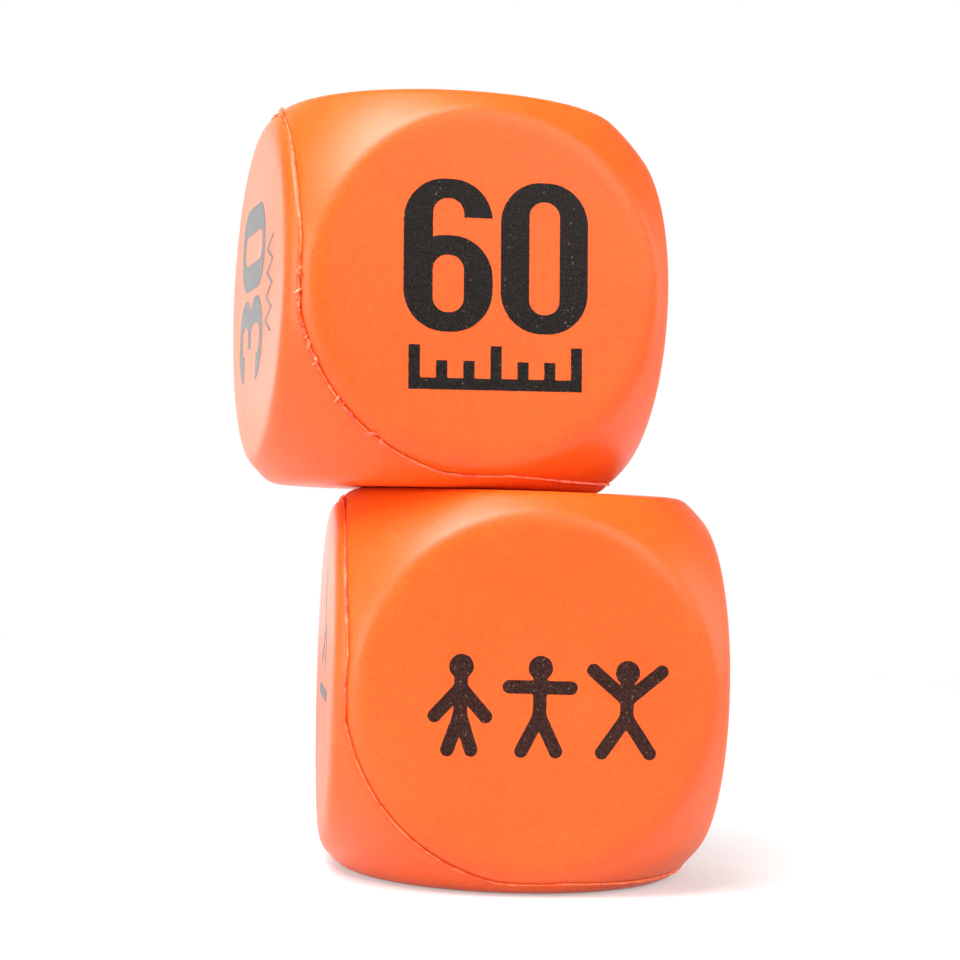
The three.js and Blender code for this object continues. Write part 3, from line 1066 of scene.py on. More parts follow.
def is_clockwise(line: list[Point]) -> bool:
    """Whether a closed line runs clockwise."""
    return sum(x0 * y1 - x1 * y0 for (x0, y0), (x1, y1) in zip(line, line[1:] + line[:1])) < 0.0


def outlines(distance: np.ndarray, pitch: float, origin: float) -> list[list[Point]]:
    """The closed lines on which a sheet of distances is 0, with the ink on their left.

    Args:
        distance: The distance at each point of a square grid.
        pitch: The grid's spacing.
        origin: The first point's place along both directions.

    Returns:
        The lines' points.
    """
    inked = distance < 0.0
    corner_sum = inked[:-1, :-1].astype(int) + inked[1:, :-1] + inked[1:, 1:] + inked[:-1, 1:]
    follows: dict[frozenset, frozenset] = {}
    for i, j in zip(*np.nonzero((corner_sum > 0) & (corner_sum < 4))):
        around = [(i, j), (i + 1, j), (i + 1, j + 1), (i, j + 1)]
        for places in ((0, 1, 2), (0, 2, 3)):
            nodes = [around[place] for place in places]
            marks = [inked[node] for node in nodes]
            if all(marks) or not any(marks):
                continue
            odd = next(k for k in range(3) if marks.count(marks[k]) == 1)
            edges = [frozenset((nodes[odd], nodes[(odd + turn) % 3])) for turn in (1, 2)]
            start, end = edges if marks[odd] else edges[::-1]
            follows[start] = end
    loops = []
    while follows:
        here, following = follows.popitem()
        line = []
        while True:
            a, b = sorted(here)
            share = distance[a] / (distance[a] - distance[b])
            line.append(tuple(origin + pitch * (a[k] + share * (b[k] - a[k])) for k in (0, 1)))
            if following not in follows:
                break
            here, following = following, follows.pop(following)
        loops.append(line)
    return loops


class Mark(Enum):
    """What a number counts, shown by the mark under it."""

    SECONDS = "seconds"
    REPEATS = "repeats"


@dataclass(frozen=True)
class NumberFace:
    """A two-digit number over its unit mark, on one face of the upper die."""

    face: Face
    number: str
    mark: Mark
    shift: Point = (0.0, 0.0)
    turn: float = 0.0
    style: DigitStyle = DigitStyle()
    rise: float = 6.6 * MM
    gap: float = 2.0 * MM
    mark_gap: float = 3.1 * MM
    mark_height: float = 9.6 * MM
    stroke: float = 2.4 * MM
    seconds_width: float = 39.5 * MM
    seconds_ticks: int = 7
    short_tick: float = 0.65
    repeats_width: float = 22.0 * MM
    repeats_peaks: int = 4

    @property
    def digits_low(self) -> float:
        """The height of the digits' feet from the face's centre."""
        return self.rise - self.style.height / 2

    @property
    def mark_low(self) -> float:
        """The height of the mark's lower side from the face's centre."""
        return self.digits_low - self.mark_gap - self.mark_height

    def prints(self) -> dict[str, tuple[np.ndarray, Matrix]]:
        """Draws the face.

        Returns:
            Each print's distances and its place on the face, by its CAD node's name.
        """
        sheet = Drawing()
        drawn = {}
        lefts = {"tens": -self.style.width - self.gap / 2, "units": self.gap / 2}
        for (side, left), digit in zip(lefts.items(), self.number):
            place = Matrix.Translation((left, self.digits_low, 0.0))
            name = f"upper_{self.face.name.lower()}_{side}_digit_{digit}"
            drawn[name] = (self.style.draw(sheet, digit), place)
        draw = {Mark.SECONDS: self._seconds, Mark.REPEATS: self._repeats}[self.mark]
        name = f"upper_{self.face.name.lower()}_{self.mark.value}_mark"
        drawn[name] = (draw(sheet), Matrix.Identity(4))
        return drawn

    def _seconds(self, sheet: Drawing) -> np.ndarray:
        """A scale of ticks on a line.

        Args:
            sheet: Where it is drawn.

        Returns:
            The distances from its edge.
        """
        left, low = -self.seconds_width / 2, self.mark_low
        pitch = (self.seconds_width - self.stroke) / (self.seconds_ticks - 1)
        ticks = range(self.seconds_ticks)
        heights = [self.mark_height * (1.0 if i % 3 == 0 else self.short_tick) for i in ticks]
        starts = [left + i * pitch for i in ticks]
        line = sheet.plate(left, low, -left, low + self.stroke)
        bars = [sheet.plate(x, low, x + self.stroke, low + h) for x, h in zip(starts, heights)]
        return joined(line, *bars)

    def _repeats(self, sheet: Drawing) -> np.ndarray:
        """A zigzag band.

        Args:
            sheet: Where it is drawn.

        Returns:
            The distances from its edge.
        """
        count = 2 * self.repeats_peaks
        low = self.mark_low + self.stroke / 2
        climb = self.mark_height - self.stroke
        left = -self.repeats_width / 2
        across = [left + i * self.repeats_width / count for i in range(count + 1)]
        half = self.stroke / 2
        lower = [(x, low + i % 2 * climb - half) for i, x in enumerate(across)]
        upper = [(x, low + i % 2 * climb + half) for i, x in enumerate(across)]
        return sheet.polygon(lower + upper[::-1])


LIMB_FILLET = 0.4 * MM


@dataclass(frozen=True)
class Pose:
    """A figure of straight limbs and a round head, its joints in millimetres from the ground."""

    head: Point
    limbs: tuple[tuple[Point, ...], ...]

    def draw(self, sheet: Drawing, limb: float, head: float) -> np.ndarray:
        """Draws the figure.

        Args:
            sheet: Where it is drawn.
            limb: The width of a limb.
            head: The head's diameter.

        Returns:
            The distances from its edge.
        """
        shape = sheet.disc(self._metres(self.head), head)
        for joints in self.limbs:
            for start, end in zip(joints, joints[1:]):
                stroke = sheet.stroke(self._metres(start), self._metres(end), limb)
                shape = softly_joined(shape, stroke, LIMB_FILLET)
        return shape

    @staticmethod
    def _metres(point: Point) -> Point:
        """A joint's place in metres."""
        return point[0] * MM, point[1] * MM


HIP: Point = (0.0, 9.0)


def star_jump(hand: Point, foot: Point, shoulder: float, head: float) -> Pose:
    """A front view of a figure with both sides alike.

    Args:
        hand: The right hand.
        foot: The right foot.
        shoulder: The height of the shoulders.
        head: The height of the head's middle.

    Returns:
        The figure.
    """
    neck, crown = (0.0, shoulder), (0.0, head)
    arms = ((-hand[0], hand[1]), neck, hand)
    legs = ((-foot[0], foot[1]), HIP, foot)
    return Pose(crown, ((HIP, neck, crown), arms, legs))


# The three figures of a star jump, each with its place across the face in millimetres.
JUMPS = {
    "jump_start": (-19.3, star_jump((5.6, 8.6), (2.6, 1.3), 14.8, 19.4)),
    "jump_middle": (-1.9, star_jump((6.8, 15.2), (3.8, 1.3), 15.2, 19.4)),
    "jump_top": (17.4, star_jump((7.6, 19.2), (5.3, 1.3), 12.8, 18.8)),
}


class Exercise(Enum):
    """The exercises on the lower die's plain faces."""

    SQUAT = Pose(
        (2, 17.6),
        (((2, 17.6), (0.5, 13.6), (-3.8, 7.6), (3, 6.8), (0.6, 1.3)), ((0.5, 13.6), (8, 13))),
    )
    PUSH_UP = Pose(
        (11, 10.4),
        (((11, 10.4), (7.2, 8.4), (-2.2, 5.4), (-11.4, 1.4)), ((7.2, 8.4), (7.8, 1.3))),
    )
    LUNGE = Pose(
        (0.4, 20),
        (
            ((0.4, 20), (0, 15.8), (0, 9.4), (5.4, 7.6), (5.6, 1.3)),
            ((0, 9.4), (-3.6, 3.6), (-9, 1.3)),
        ),
    )
    SIT_UP = Pose(
        (-8.8, 12.4),
        (((-8.8, 12.4), (-6.8, 8.4), (-1.6, 1.6), (5.2, 8.4), (9, 1.3)), ((-6.8, 8.4), (1.4, 10))),
    )
    PLANK = Pose(
        (11, 9),
        (((11, 9), (7.2, 7), (-2.2, 4.8), (-11.4, 1.4)), ((7.2, 7), (7.4, 1.3), (11.4, 1.3))),
    )


@dataclass(frozen=True)
class FigureFace:
    """A face of the lower die: an exercise on a mat, or the three figures of a star jump."""

    face: Face
    exercise: Exercise | None = None
    shift: Point = (0.0, 0.0)
    turn: float = 0.0
    limb: float = 2.8 * MM
    head: float = 5.2 * MM
    ground: float = 2.4 * MM
    jump_ground: float = -11.0 * MM
    mat_length: float = 30.0 * MM
    mat_thickness: float = 2.6 * MM
    mat_drop: float = 4.0 * MM

    def prints(self) -> dict[str, tuple[np.ndarray, Matrix]]:
        """Draws the face.

        Returns:
            Each print's distances and its place on the face, by its CAD node's name.
        """
        sheet = Drawing()
        start = f"lower_{self.face.name.lower()}"
        if self.exercise is None:
            return {
                f"{start}_{phase}_figure": (
                    pose.draw(sheet, self.limb, self.head),
                    Matrix.Translation((across * MM, self.jump_ground, 0.0)),
                )
                for phase, (across, pose) in JUMPS.items()
            }
        low = -self.mat_drop - self.mat_thickness / 2
        half = self.mat_length / 2
        mat = sheet.plate(-half, low, half, low + self.mat_thickness, self.mat_thickness / 2)
        figure = self.exercise.value.draw(sheet, self.limb, self.head)
        return {
            f"{start}_{self.exercise.name.lower()}_figure": (
                figure,
                Matrix.Translation((0.0, self.ground, 0.0)),
            ),
            f"{start}_mat": (mat, Matrix.Identity(4)),
        }


# ------------------------------------------------------------------ finishes


Colour = tuple[float, float, float, float]
WHITE: Colour = (1.0, 1.0, 1.0, 1.0)


@dataclass(frozen=True)
class Finish:
    """A procedural finish on Object coordinates, with scales in waves or cells per metre."""

    name: str
    bump: float = 0.05 * MM
    specular: float = 0.44
    scatter: float = 0.0
    scatter_depth: float = 4.0 * MM
    scatter_reach: tuple[float, float, float] = (1.0, 0.22, 0.08)

    def height(self, graph: Graph, place: Value) -> Value:
        """The surface's relief, from 0 to 1."""
        raise NotImplementedError

    def varying(self, graph: Graph, place: Value) -> dict[str, Value]:
        """The shader's varying inputs, by name."""
        raise NotImplementedError

    def material(self) -> bpy.types.Material:
        """Builds the finish.

        Returns:
            The material.
        """
        material = bpy.data.materials.new(self.name)
        material.use_nodes = True
        material.node_tree.nodes.clear()
        graph = Graph(material.node_tree)
        place = graph.value(graph.node("ShaderNodeTexCoord"), "Object")
        relief = {"Strength": 1.0, "Distance": self.bump, "Height": self.height(graph, place)}
        normal = graph.value(graph.node("ShaderNodeBump", values=relief))
        fixed = {
            "Specular IOR Level": self.specular,
            "Subsurface Weight": self.scatter,
            "Subsurface Radius": self.scatter_reach,
            "Subsurface Scale": self.scatter_depth,
        }
        values = fixed | self.varying(graph, place) | {"Normal": normal}
        shader = graph.node("ShaderNodeBsdfPrincipled", values=values)
        graph.node("ShaderNodeOutputMaterial", values={0: graph.value(shader)})
        return material


@dataclass(frozen=True)
class SkinFinish(Finish):
    """Dense moulded foam skin: satin, mottled, with fine grain, faint scuffs, and pinholes darkened
    by painted shade.
    """

    bump: float = 0.10 * MM
    base: Colour = (0.93, 0.110, 0.006, 1.0)
    warm: Colour = (0.97, 0.144, 0.010, 1.0)
    deep: Colour = (0.82, 0.074, 0.002, 1.0)
    # Pinhole colour: painted shade, the dark red-brown laid into each pinhole.
    pinhole_shade: Colour = (0.30, 0.025, 0.008, 1.0)
    scuffed: Colour = (1.0, 0.36, 0.14, 1.0)
    scatter: float = 0.3
    roughness: float = 0.39
    pinhole_scale: float = 330.0
    peel_scale: float = 520.0
    grain_scale: float = 1700.0
    swell_scale: float = 70.0
    mottle_scale: float = 38.0
    speck_scale: float = 1500.0
    scuff_scale: float = 900.0
    patch_scale: float = 95.0

    def pinholes(self, graph: Graph, place: Value) -> Value:
        """Where a pinhole opens in the skin: 1 in its middle.

        Args:
            graph: The material's tree.
            place: The place on the piece.

        Returns:
            The share of a pinhole.
        """
        values = {"Vector": place, "Scale": self.pinhole_scale, "Randomness": 1.0}
        cells = graph.node("ShaderNodeTexVoronoi", values=values)
        near = graph.value(cells, "Distance")
        chance = graph.parts(graph.value(cells, "Color"))[0] > 0.86
        return graph.ramp(near, [(0.03, 1.0), (0.075, 0.0)]) * chance

    def height(self, graph: Graph, place: Value) -> Value:
        """Soft peel, a fine grain and the pinholes.

        Args:
            graph: The material's tree.
            place: The place on the piece.

        Returns:
            The relief, from 0 to 1.
        """
        peel = graph.noise(place, self.peel_scale, 2.0)
        drawn = graph.vector("MULTIPLY", place, (1.0, 1.0, 0.6))
        grain = graph.noise(drawn, self.grain_scale, 3.0, 0.6)
        swell = graph.noise(place, self.swell_scale, 2.0)
        return peel * 0.35 + grain * 0.42 + swell * 0.8 - self.pinholes(graph, place)

    def varying(self, graph: Graph, place: Value) -> dict[str, Value]:
        """Mottled orange with specks, painted shade in the pinholes, and gloss that changes across
        the surface.

        Args:
            graph: The material's tree.
            place: The place on the piece.

        Returns:
            The shader's varying inputs, by name.
        """
        mottle = graph.noise(place, self.mottle_scale, 3.0, 0.55)
        broad = graph.ramp(mottle, [(0.35, 0.0), (0.68, 1.0)])
        fine = graph.noise(place, self.speck_scale, 3.0, 0.6)
        colour = graph.colour_mix(broad * 0.45, self.base, self.warm)
        colour = graph.colour_mix(graph.ramp(fine, [(0.36, 0.55), (0.60, 0.0)]), colour, self.deep)
        # Painted shade: each pinhole is darkened towards a deep red-brown.
        colour = graph.colour_mix(self.pinholes(graph, place) * 0.8, colour, self.pinhole_shade)
        streaks = graph.vector("MULTIPLY", place, (1.0, 1.0, 0.18))
        lines = graph.noise(streaks, self.scuff_scale, 4.0, 0.62)
        scuff = graph.ramp(lines, [(0.64, 0.0), (0.74, 1.0)])
        patches = graph.noise(place, self.patch_scale, 2.0)
        worn = scuff * graph.ramp(patches, [(0.5, 0.0), (0.62, 1.0)])
        colour = graph.colour_mix(worn * 0.22, colour, self.scuffed)
        roughness = broad * 0.06 + fine * 0.10 + worn * 0.18 + (self.roughness - 0.08)
        return {"Base Color": colour, "Roughness": roughness}


@dataclass(frozen=True)
class FlashFinish(Finish):
    """Thin torn foam at the parting line, paler and duller than the skin."""

    base: Colour = (0.93, 0.16, 0.045, 1.0)
    pale: Colour = (0.98, 0.30, 0.14, 1.0)
    # Painted shade: a deep red that stands in for the shadows among the torn curls.
    painted_red_shade: Colour = (0.88, 0.055, 0.045, 1.0)
    grain_scale: float = 1400.0
    thin_scale: float = 700.0
    # Waves per metre of the patches of painted red shade.
    shade_patch_scale: float = 420.0

    def height(self, graph: Graph, place: Value) -> Value:
        """A torn grain."""
        return graph.noise(place, self.grain_scale, 4.0, 0.7)

    def varying(self, graph: Graph, place: Value) -> dict[str, Value]:
        """Orange that pales where the foam is thin, with patches of painted deep red shade placed
        by noise.

        Args:
            graph: The material's tree.
            place: The place on the piece.

        Returns:
            The shader's varying inputs, by name.
        """
        thinning = graph.noise(place, self.thin_scale, 3.0, 0.6)
        thin = graph.ramp(thinning, [(0.38, 0.0), (0.66, 1.0)])
        colour = graph.colour_mix(thin, self.base, self.pale)
        # Painted shade: noise patches pull the colour towards the deep red of the shadows among the
        # torn curls.
        torn = graph.ramp(graph.noise(place, self.shade_patch_scale, 2.0), [(0.52, 0.0), (0.62, 1.0)])
        colour = graph.colour_mix(torn * 0.7, colour, self.painted_red_shade)
        return {"Base Color": colour, "Roughness": thin * 0.2 + 0.5}


@dataclass(frozen=True)
class CoreFinish(Finish):
    """Open foam with round cells, inside the skin."""

    base: Colour = (0.92, 0.24, 0.075, 1.0)
    # Painted shade: the darker colour laid into the foam's cell hollows.
    hollow_shade: Colour = (0.55, 0.07, 0.02, 1.0)
    cell_scale: float = 900.0

    def height(self, graph: Graph, place: Value) -> Value:
        """Cell walls round small hollows."""
        values = {"Vector": place, "Scale": self.cell_scale}
        return graph.value(graph.node("ShaderNodeTexVoronoi", values=values), "Distance")

    def varying(self, graph: Graph, place: Value) -> dict[str, Value]:
        """Pale orange foam with painted shade in its hollows.

        Args:
            graph: The material's tree.
            place: The place on the piece.

        Returns:
            The shader's varying inputs, by name.
        """
        # Painted shade: the hollows are darkened.
        hollow = graph.ramp(self.height(graph, place), [(0.15, 1.0), (0.5, 0.0)])
        colour = graph.colour_mix(hollow, self.base, self.hollow_shade)
        return {"Base Color": colour, "Roughness": hollow * 0.1 + 0.82}


@dataclass(frozen=True)
class InkFinish(Finish):
    """Screen-printed ink with a diagonal wrinkled grain, pinholes and rubbed spots."""

    specular: float = 0.17
    dark: Colour = (0.0050, 0.0025, 0.0018, 1.0)
    # Painted highlight: the lighter colour laid along the wrinkle ridges.
    ridge_highlight: Colour = (0.022, 0.015, 0.012, 1.0)
    under: Colour = (0.42, 0.25, 0.19, 1.0)
    wear: float = 0.5
    roughness: float = 0.26
    slant: tuple[float, float, float] = (0.0, math.radians(52), math.radians(20))
    wrinkle_scale: float = 4300.0
    pinhole_scale: float = 900.0
    rub_scale: float = 1100.0

    def wrinkles(self, graph: Graph, place: Value) -> Value:
        """A fine grain drawn out along a diagonal.

        Args:
            graph: The material's tree.
            place: The place on the piece.

        Returns:
            The height of the grain from 0 to 1.
        """
        values = {"Vector": place, "Rotation": self.slant}
        turned = graph.node("ShaderNodeMapping", values=values)
        drawn = graph.vector("MULTIPLY", graph.value(turned), (1.0, 1.0, 0.3))
        return graph.noise(drawn, self.wrinkle_scale, 2.0)

    def specks(self, graph: Graph, place: Value) -> Value:
        """Where a pinhole in the ink lets the skin show.

        Args:
            graph: The material's tree.
            place: The place on the piece.

        Returns:
            The share of a pinhole.
        """
        values = {"Vector": place, "Scale": self.pinhole_scale}
        cells = graph.node("ShaderNodeTexVoronoi", values=values)
        near = graph.ramp(graph.value(cells, "Distance"), [(0.06, 1.0), (0.16, 0.0)])
        return near * (graph.parts(graph.value(cells, "Color"))[1] > 0.72)

    def height(self, graph: Graph, place: Value) -> Value:
        """The wrinkles and the pinholes."""
        return self.wrinkles(graph, place) * 1.3 - self.specks(graph, place) * 0.8

    def varying(self, graph: Graph, place: Value) -> dict[str, Value]:
        """Near black with a painted highlight along the wrinkle ridges, and worn specks.

        Args:
            graph: The material's tree.
            place: The place on the piece.

        Returns:
            The shader's varying inputs, by name.
        """
        # Painted highlight: the wrinkle ridges are lightened as if they caught the light.
        highlit_ridge = graph.ramp(self.wrinkles(graph, place), [(0.48, 0.0), (0.66, 1.0)])
        colour = graph.colour_mix(highlit_ridge, self.dark, self.ridge_highlight)
        rubbing = graph.noise(place, self.rub_scale, 4.0, 0.7)
        rubbed = graph.ramp(rubbing, [(0.66, 0.0), (0.78, 1.0)])
        colour = graph.colour_mix(rubbed * self.wear, colour, self.under)
        colour = graph.colour_mix(self.specks(graph, place) * 0.75, colour, self.under)
        return {"Base Color": colour, "Roughness": highlit_ridge * 0.16 + self.roughness}


# ------------------------------------------------------------------ the dice


@dataclass
class Die:
    """One foam die: its core, the two halves of its skin, the fin between them and its prints."""

    name: str
    faces: list[NumberFace | FigureFace]
    ink: Finish
    skin: Finish
    flash: Finish
    core: Finish
    turn: float = 0.0
    rule: BodyRule = BodyRule(half_side=44.5 * MM, face_radius=38.95 * MM, power=2.03, rim=0.035)
    skin_thickness: float = 1.5 * MM
    core_inset: float = 1.8 * MM
    waviness: float = 0.035 * MM
    lip: float = 0.25 * MM
    flash_height: float = 0.5 * MM
    flash_half_thickness: float = 0.13 * MM
    flash_root: float = 0.6 * MM
    knot_size: float = 0.95 * MM
    knot_spacing: float = 1.5 * MM
    knot_chance: float = 0.7
    calm: float = 0.56
    torn_point: tuple[float, float, float] = (-38.0 * MM, -42.0 * MM, -20.0 * MM)
    torn_reach: float = 22.0 * MM
    line_points: int = 720
    line_softness: float = 0.08
    columns: int = 288
    outer_rows: int = 88
    inner_rows: int = 24
    flash_columns: int = 1600
    flash_profile: int = 10
    core_steps: int = 48
    seed: int = 7
    pieces: list[bpy.types.Object] = field(default_factory=list)

    @property
    def body(self) -> str:
        """The CAD body that the die's pieces ride on."""
        return f"{self.name}_die"

    @property
    def place(self) -> Matrix:
        """Where the die stands: its middle, taken from its core's box, and its turn."""
        low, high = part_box(f"{self.name}_foam_core")
        return Matrix.Translation((low + high) / 2) @ Matrix.Rotation(self.turn, 4, "Z")

    def build(self) -> None:
        """Makes and dresses every piece."""
        line = self._parting_line()
        skin = self.skin.material()
        for half in Half:
            self._skin_half(half, line, skin)
        self._flash(line)
        self._core()
        bpy.data.objects.remove(line)
        self._print_faces()

    def _add(
        self, name: str, mesh: bpy.types.Mesh, material: bpy.types.Material, node: str
    ) -> None:
        """Adds a piece in place of a CAD node.

        Args:
            name: The piece's name.
            mesh: Its mesh about the die's middle.
            material: Its finish.
            node: The CAD node that it stands for.
        """
        face_outwards(mesh)
        piece = new_piece(name, mesh, self.place, material)
        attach(piece, self.body)
        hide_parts(node)
        self.pieces.append(piece)
        LOG.info("%s: %d faces", name, len(mesh.polygons))

    def _parting_line(self) -> bpy.types.Object:
        """A closed curve along the parting line.

        Returns:
            The curve's object.
        """
        curve = bpy.data.curves.new("parting_line", "CURVE")
        curve.dimensions = "3D"
        spline = curve.splines.new("POLY")
        points = parting_points(self.rule, self.line_points, self.line_softness)
        spline.points.add(len(points) - 1)
        spline.points.foreach_set("co", np.column_stack([points, np.ones(len(points))]).ravel())
        spline.use_cyclic_u = True
        line = bpy.data.objects.new("parting_line", curve)
        bpy.context.scene.collection.objects.link(line)
        return line

    def _skin_half(self, half: Half, line: bpy.types.Object, material: bpy.types.Material) -> None:
        """Makes one half of the skin.

        Args:
            half: Which half.
            line: The parting line.
            material: The skin's finish.
        """
        settings = rule_settings(self.rule, material) | {
            "Parting Line": line,
            "Side": half.value,
            "Thickness": self.skin_thickness,
            "Lip": self.lip,
            "Waviness": self.waviness,
            "Seed": float(self.seed),
            "Columns": self.columns,
            "Outer Rows": self.outer_rows,
            "Inner Rows": self.inner_rows,
        }
        mesh = skin_recipe().run(settings)
        name = f"{self.name}_{half.name.lower()}_skin"
        self._add(name, mesh, material, f"{name}_half")

    def _flash(self, line: bpy.types.Object) -> None:
        """Makes the fin of foam along the parting line.

        Args:
            line: The parting line.
        """
        material = self.flash.material()
        settings = {
            "Parting Line": line,
            "Material": material,
            "Height": self.flash_height,
            "Half Thickness": self.flash_half_thickness,
            "Root": self.flash_root,
            "Knot Size": self.knot_size,
            "Knot Spacing": self.knot_spacing,
            "Knot Chance": self.knot_chance,
            "Calm": self.calm,
            "Torn Point": self.torn_point,
            "Torn Reach": self.torn_reach,
            "Seed": self.seed,
            "Columns": self.flash_columns,
            "Profile Steps": self.flash_profile,
        }
        mesh = flash_recipe().run(settings)
        node = f"{self.name}_parting_flash"
        self._add(f"{self.name}_flash", mesh, material, node)

    def _core(self) -> None:
        """Makes the foam core."""
        material = self.core.material()
        sizes = {"Inset": self.core_inset, "Steps": self.core_steps}
        settings = rule_settings(self.rule, material) | sizes
        mesh = core_recipe().run(settings)
        self._add(f"{self.name}_core", mesh, material, f"{self.name}_foam_core")

    def _print_faces(self) -> None:
        """Prints the six faces."""
        material = self.ink.material()
        for number, art in enumerate(self.faces):
            onto = (
                art.face.placement()
                @ Matrix.Translation((*art.shift, self.rule.half_side))
                @ Matrix.Rotation(art.turn, 4, "Z")
            )
            for node, (shape, place) in art.prints().items():
                film = Ink(seed=self.seed + number).slab(Drawing(), shape, onto @ place)
                self._add(f"{node}_ink", film, material, node)


def lower_die() -> Die:
    """The lower die, with an exercise on each face.

    Returns:
        The die, not built yet.
    """
    faces = [
        FigureFace(Face.FRONT, shift=(2.3 * MM, -2.6 * MM)),
        FigureFace(Face.LEFT, Exercise.LUNGE),
        FigureFace(Face.RIGHT, Exercise.SQUAT),
        FigureFace(Face.BACK, Exercise.PUSH_UP),
        FigureFace(Face.TOP, Exercise.SIT_UP),
        FigureFace(Face.BOTTOM, Exercise.PLANK),
    ]
    ink = InkFinish(
        "rubbed brown ink",
        bump=0.06 * MM,
        dark=(0.024, 0.0060, 0.0040, 1.0),
        # The lighter ink colour is the painted highlight on the wrinkle ridges.
        ridge_highlight=(0.060, 0.020, 0.014, 1.0),
        wear=0.75,
    )
    return Die(
        "lower",
        faces,
        ink,
        SkinFinish("lower foam skin"),
        FlashFinish("lower flash"),
        CoreFinish("lower core"),
        torn_point=(44.0 * MM, -30.0 * MM, -40.0 * MM),
        torn_reach=9.0 * MM,
    )


def upper_die() -> Die:
    """The upper die, with a number and what it counts on each face.

    Returns:
        The die, not built yet.
    """
    faces = [
        NumberFace(Face.FRONT, "60", Mark.SECONDS, shift=(1.8 * MM, 0.0), turn=math.radians(1.6)),
        NumberFace(Face.LEFT, "30", Mark.REPEATS, shift=(0.0, 0.6 * MM), turn=math.radians(90)),
        NumberFace(Face.RIGHT, "20", Mark.REPEATS),
        NumberFace(Face.BACK, "15", Mark.SECONDS),
        NumberFace(Face.TOP, "45", Mark.SECONDS),
        NumberFace(Face.BOTTOM, "10", Mark.REPEATS),
    ]
    ink = InkFinish("wrinkled black ink", bump=0.06 * MM)
    return Die(
        "upper",
        faces,
        ink,
        SkinFinish("upper foam skin"),
        FlashFinish("upper flash"),
        CoreFinish("upper core"),
        turn=math.radians(8.1),
        seed=19,
    )


# ------------------------------------------------------------------ the studio


@dataclass(frozen=True)
class Lamp:
    """A soft square lamp that faces the middle of the dice.

    Its offset from there and its side are in metres, and its power is in watts.
    """

    name: str
    offset: tuple[float, float, float]
    side: float
    power: float

    def build(self, middle: Vector) -> None:
        """Adds the lamp to the scene.

        Args:
            middle: The middle of the dice.
        """
        data = bpy.data.lights.new(self.name, "AREA")
        data.size, data.energy = self.side, self.power
        lamp = bpy.data.objects.new(self.name, data)
        offset = Vector(self.offset)
        turn = (-offset).to_track_quat("-Z", "Y").to_matrix().to_4x4()
        lamp.matrix_world = Matrix.Translation(middle + offset) @ turn
        bpy.context.scene.collection.objects.link(lamp)


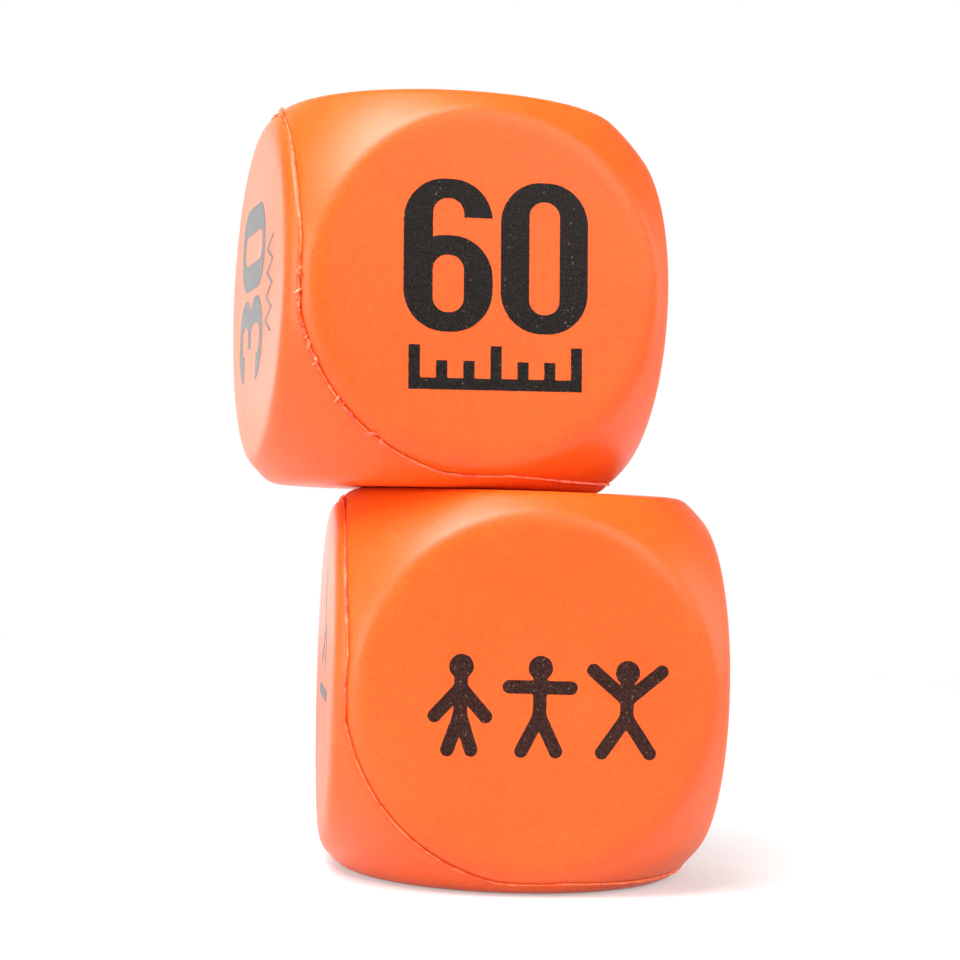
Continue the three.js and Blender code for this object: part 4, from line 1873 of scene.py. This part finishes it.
@dataclass
class Studio:
    """A plain pale floor, a white surround, soft lamps and the camera."""

    lens: float = 78.82
    sensor: float = 36.0
    clip: tuple[float, float] = (0.01, 50.0)
    camera_offset: tuple[float, float, float] = (-69.3 * MM, -498.0 * MM, 36.0 * MM)
    heading: float = -0.1206
    pitch: float = 0.0225
    roll: float = 0.0335
    floor_size: float = 8.0
    floor_colour: Colour = (0.60, 0.595, 0.595, 1.0)
    floor_glow: float = 0.36
    floor_fade: tuple[float, float] = (0.25, 0.8)
    surround: float = 0.29
    dimming: float = 0.88
    above_fade: tuple[float, float] = (0.08, 0.40)
    before_fade: tuple[float, float] = (0.35, 0.60)
    lamps: tuple[Lamp, ...] = (
        Lamp("top_lamp", (-0.28, -0.28, 0.78), 0.6, 13.5),
        Lamp("front_lamp", (0.60, -0.80, 0.55), 0.8, 6.1),
        Lamp("right_lamp", (1.05, 0.05, 0.30), 0.6, 2.6),
        Lamp("left_lamp", (-0.95, -0.45, 0.18), 0.6, 5.8),
        Lamp("back_lamp", (-0.14, 1.0, 0.16), 0.9, 3.6),
    )

    def build(self) -> None:
        """Sets up the view, the floor, the surround and the lamps."""
        scene = bpy.context.scene
        scene.view_settings.view_transform = "Standard"
        self._camera()
        self._floor()
        self._surround()
        low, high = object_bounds()
        for lamp in self.lamps:
            lamp.build((low + high) / 2)

    def _camera(self) -> None:
        """Places the camera by its offset from the lower die's middle."""
        low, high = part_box("lower_foam_core")
        sin_h, cos_h = math.sin(self.heading), math.cos(self.heading)
        sin_p, cos_p = math.sin(self.pitch), math.cos(self.pitch)
        forward = Vector((-sin_h * cos_p, cos_h * cos_p, sin_p))
        right = Vector((cos_h, sin_h, 0.0))
        up = Vector((sin_h * sin_p, -cos_h * sin_p, cos_p))
        sin_r, cos_r = math.sin(self.roll), math.cos(self.roll)
        axes = (cos_r * right + sin_r * up, cos_r * up - sin_r * right, -forward)
        data = bpy.data.cameras.new("camera")
        data.lens, data.sensor_width = self.lens, self.sensor
        data.clip_start, data.clip_end = self.clip
        camera = bpy.data.objects.new("camera", data)
        place = (low + high) / 2 + Vector(self.camera_offset)
        camera.matrix_world = Matrix.Translation(place) @ Matrix(axes).transposed().to_4x4()
        bpy.context.scene.collection.objects.link(camera)
        bpy.context.scene.camera = camera

    def _floor(self) -> None:
        """A pale matt floor under the dice."""
        half = self.floor_size / 2
        low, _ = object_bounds()
        mesh = bpy.data.meshes.new("floor")
        corners = [(-half, -half), (half, -half), (half, half), (-half, half)]
        mesh.from_pydata([(x, y, low.z) for x, y in corners], [], [(0, 1, 2, 3)])
        mesh.materials.append(self._floor_finish())
        floor = bpy.data.objects.new("floor", mesh)
        bpy.context.scene.collection.objects.link(floor)
        floor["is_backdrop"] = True

    def _floor_finish(self) -> bpy.types.Material:
        """A pale matt floor that fades to the surround's white far from the dice.

        Returns:
            The material.
        """
        material = bpy.data.materials.new("pale floor")
        material.use_nodes = True
        material.node_tree.nodes.clear()
        graph = Graph(material.node_tree)
        matt = graph.node(
            "ShaderNodeBsdfPrincipled",
            values={
                "Base Color": self.floor_colour,
                "Roughness": 0.9,
                "Specular IOR Level": 0.1,
                "Emission Color": self._seen(graph) * self.floor_glow,
                "Emission Strength": 1.0,
            },
        )
        white = graph.node("ShaderNodeEmission", values={"Color": WHITE, "Strength": 1.0})
        away = graph.length(graph.value(graph.node("ShaderNodeTexCoord"), "Object"))
        near, far = self.floor_fade
        share = graph.math("SMOOTH_MIN", larger((away - near) / (far - near), 0.0), 1.0, 0.1)
        mixed = graph.node(
            "ShaderNodeMixShader",
            values={0: share * self._seen(graph), 1: graph.value(matt), 2: graph.value(white)},
        )
        graph.node("ShaderNodeOutputMaterial", values={0: graph.value(mixed)})
        return material

    @staticmethod
    def _seen(graph: Graph) -> Value:
        """1 for rays from the camera, mirrored ones and ones through glass.

        Args:
            graph: The material's or surround's tree.

        Returns:
            1 for such a ray, and 0 for another.
        """
        path = graph.node("ShaderNodeLightPath")
        seen = graph.value(path, "Is Camera Ray")
        for ray in ("Is Glossy Ray", "Is Transmission Ray"):
            seen = larger(seen, graph.value(path, ray))
        return seen

    def _surround(self) -> None:
        """An even surround, seen as white, and mirrored so only low down and behind the dice."""
        world = bpy.data.worlds.new("surround")
        world.use_nodes = True
        world.node_tree.nodes.clear()
        graph = Graph(world.node_tree)
        _, behind, high = graph.parts(graph.value(graph.node("ShaderNodeTexCoord"), "Generated"))
        camera = graph.value(graph.node("ShaderNodeLightPath"), "Is Camera Ray")
        above = graph.ramp(high, list(zip(self.above_fade, (0.0, 1.0))))
        before = graph.ramp(behind * -0.5 + 0.5, list(zip(self.before_fade, (0.0, 1.0))))
        dim = larger(above, before) * (1 - camera) * self.dimming
        strength = self._seen(graph) * (1.0 - dim - self.surround) + self.surround
        values = {"Color": WHITE, "Strength": strength}
        background = graph.node("ShaderNodeBackground", values=values)
        graph.node("ShaderNodeOutputWorld", values={0: graph.value(background)})
        bpy.context.scene.world = world


# ------------------------------------------------------------------ the whole


def main() -> None:
    """Builds the studio and both dice, and logs the faces of each piece and the pieces of each die.
    """
    logging.basicConfig(level=logging.INFO, format="%(name)s: %(message)s")
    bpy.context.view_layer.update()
    Studio().build()
    for die in (lower_die(), upper_die()):
        die.build()
        LOG.info("%s die: %d pieces on %s", die.name, len(die.pieces), die.body)


if __name__ == "__main__":
    main()
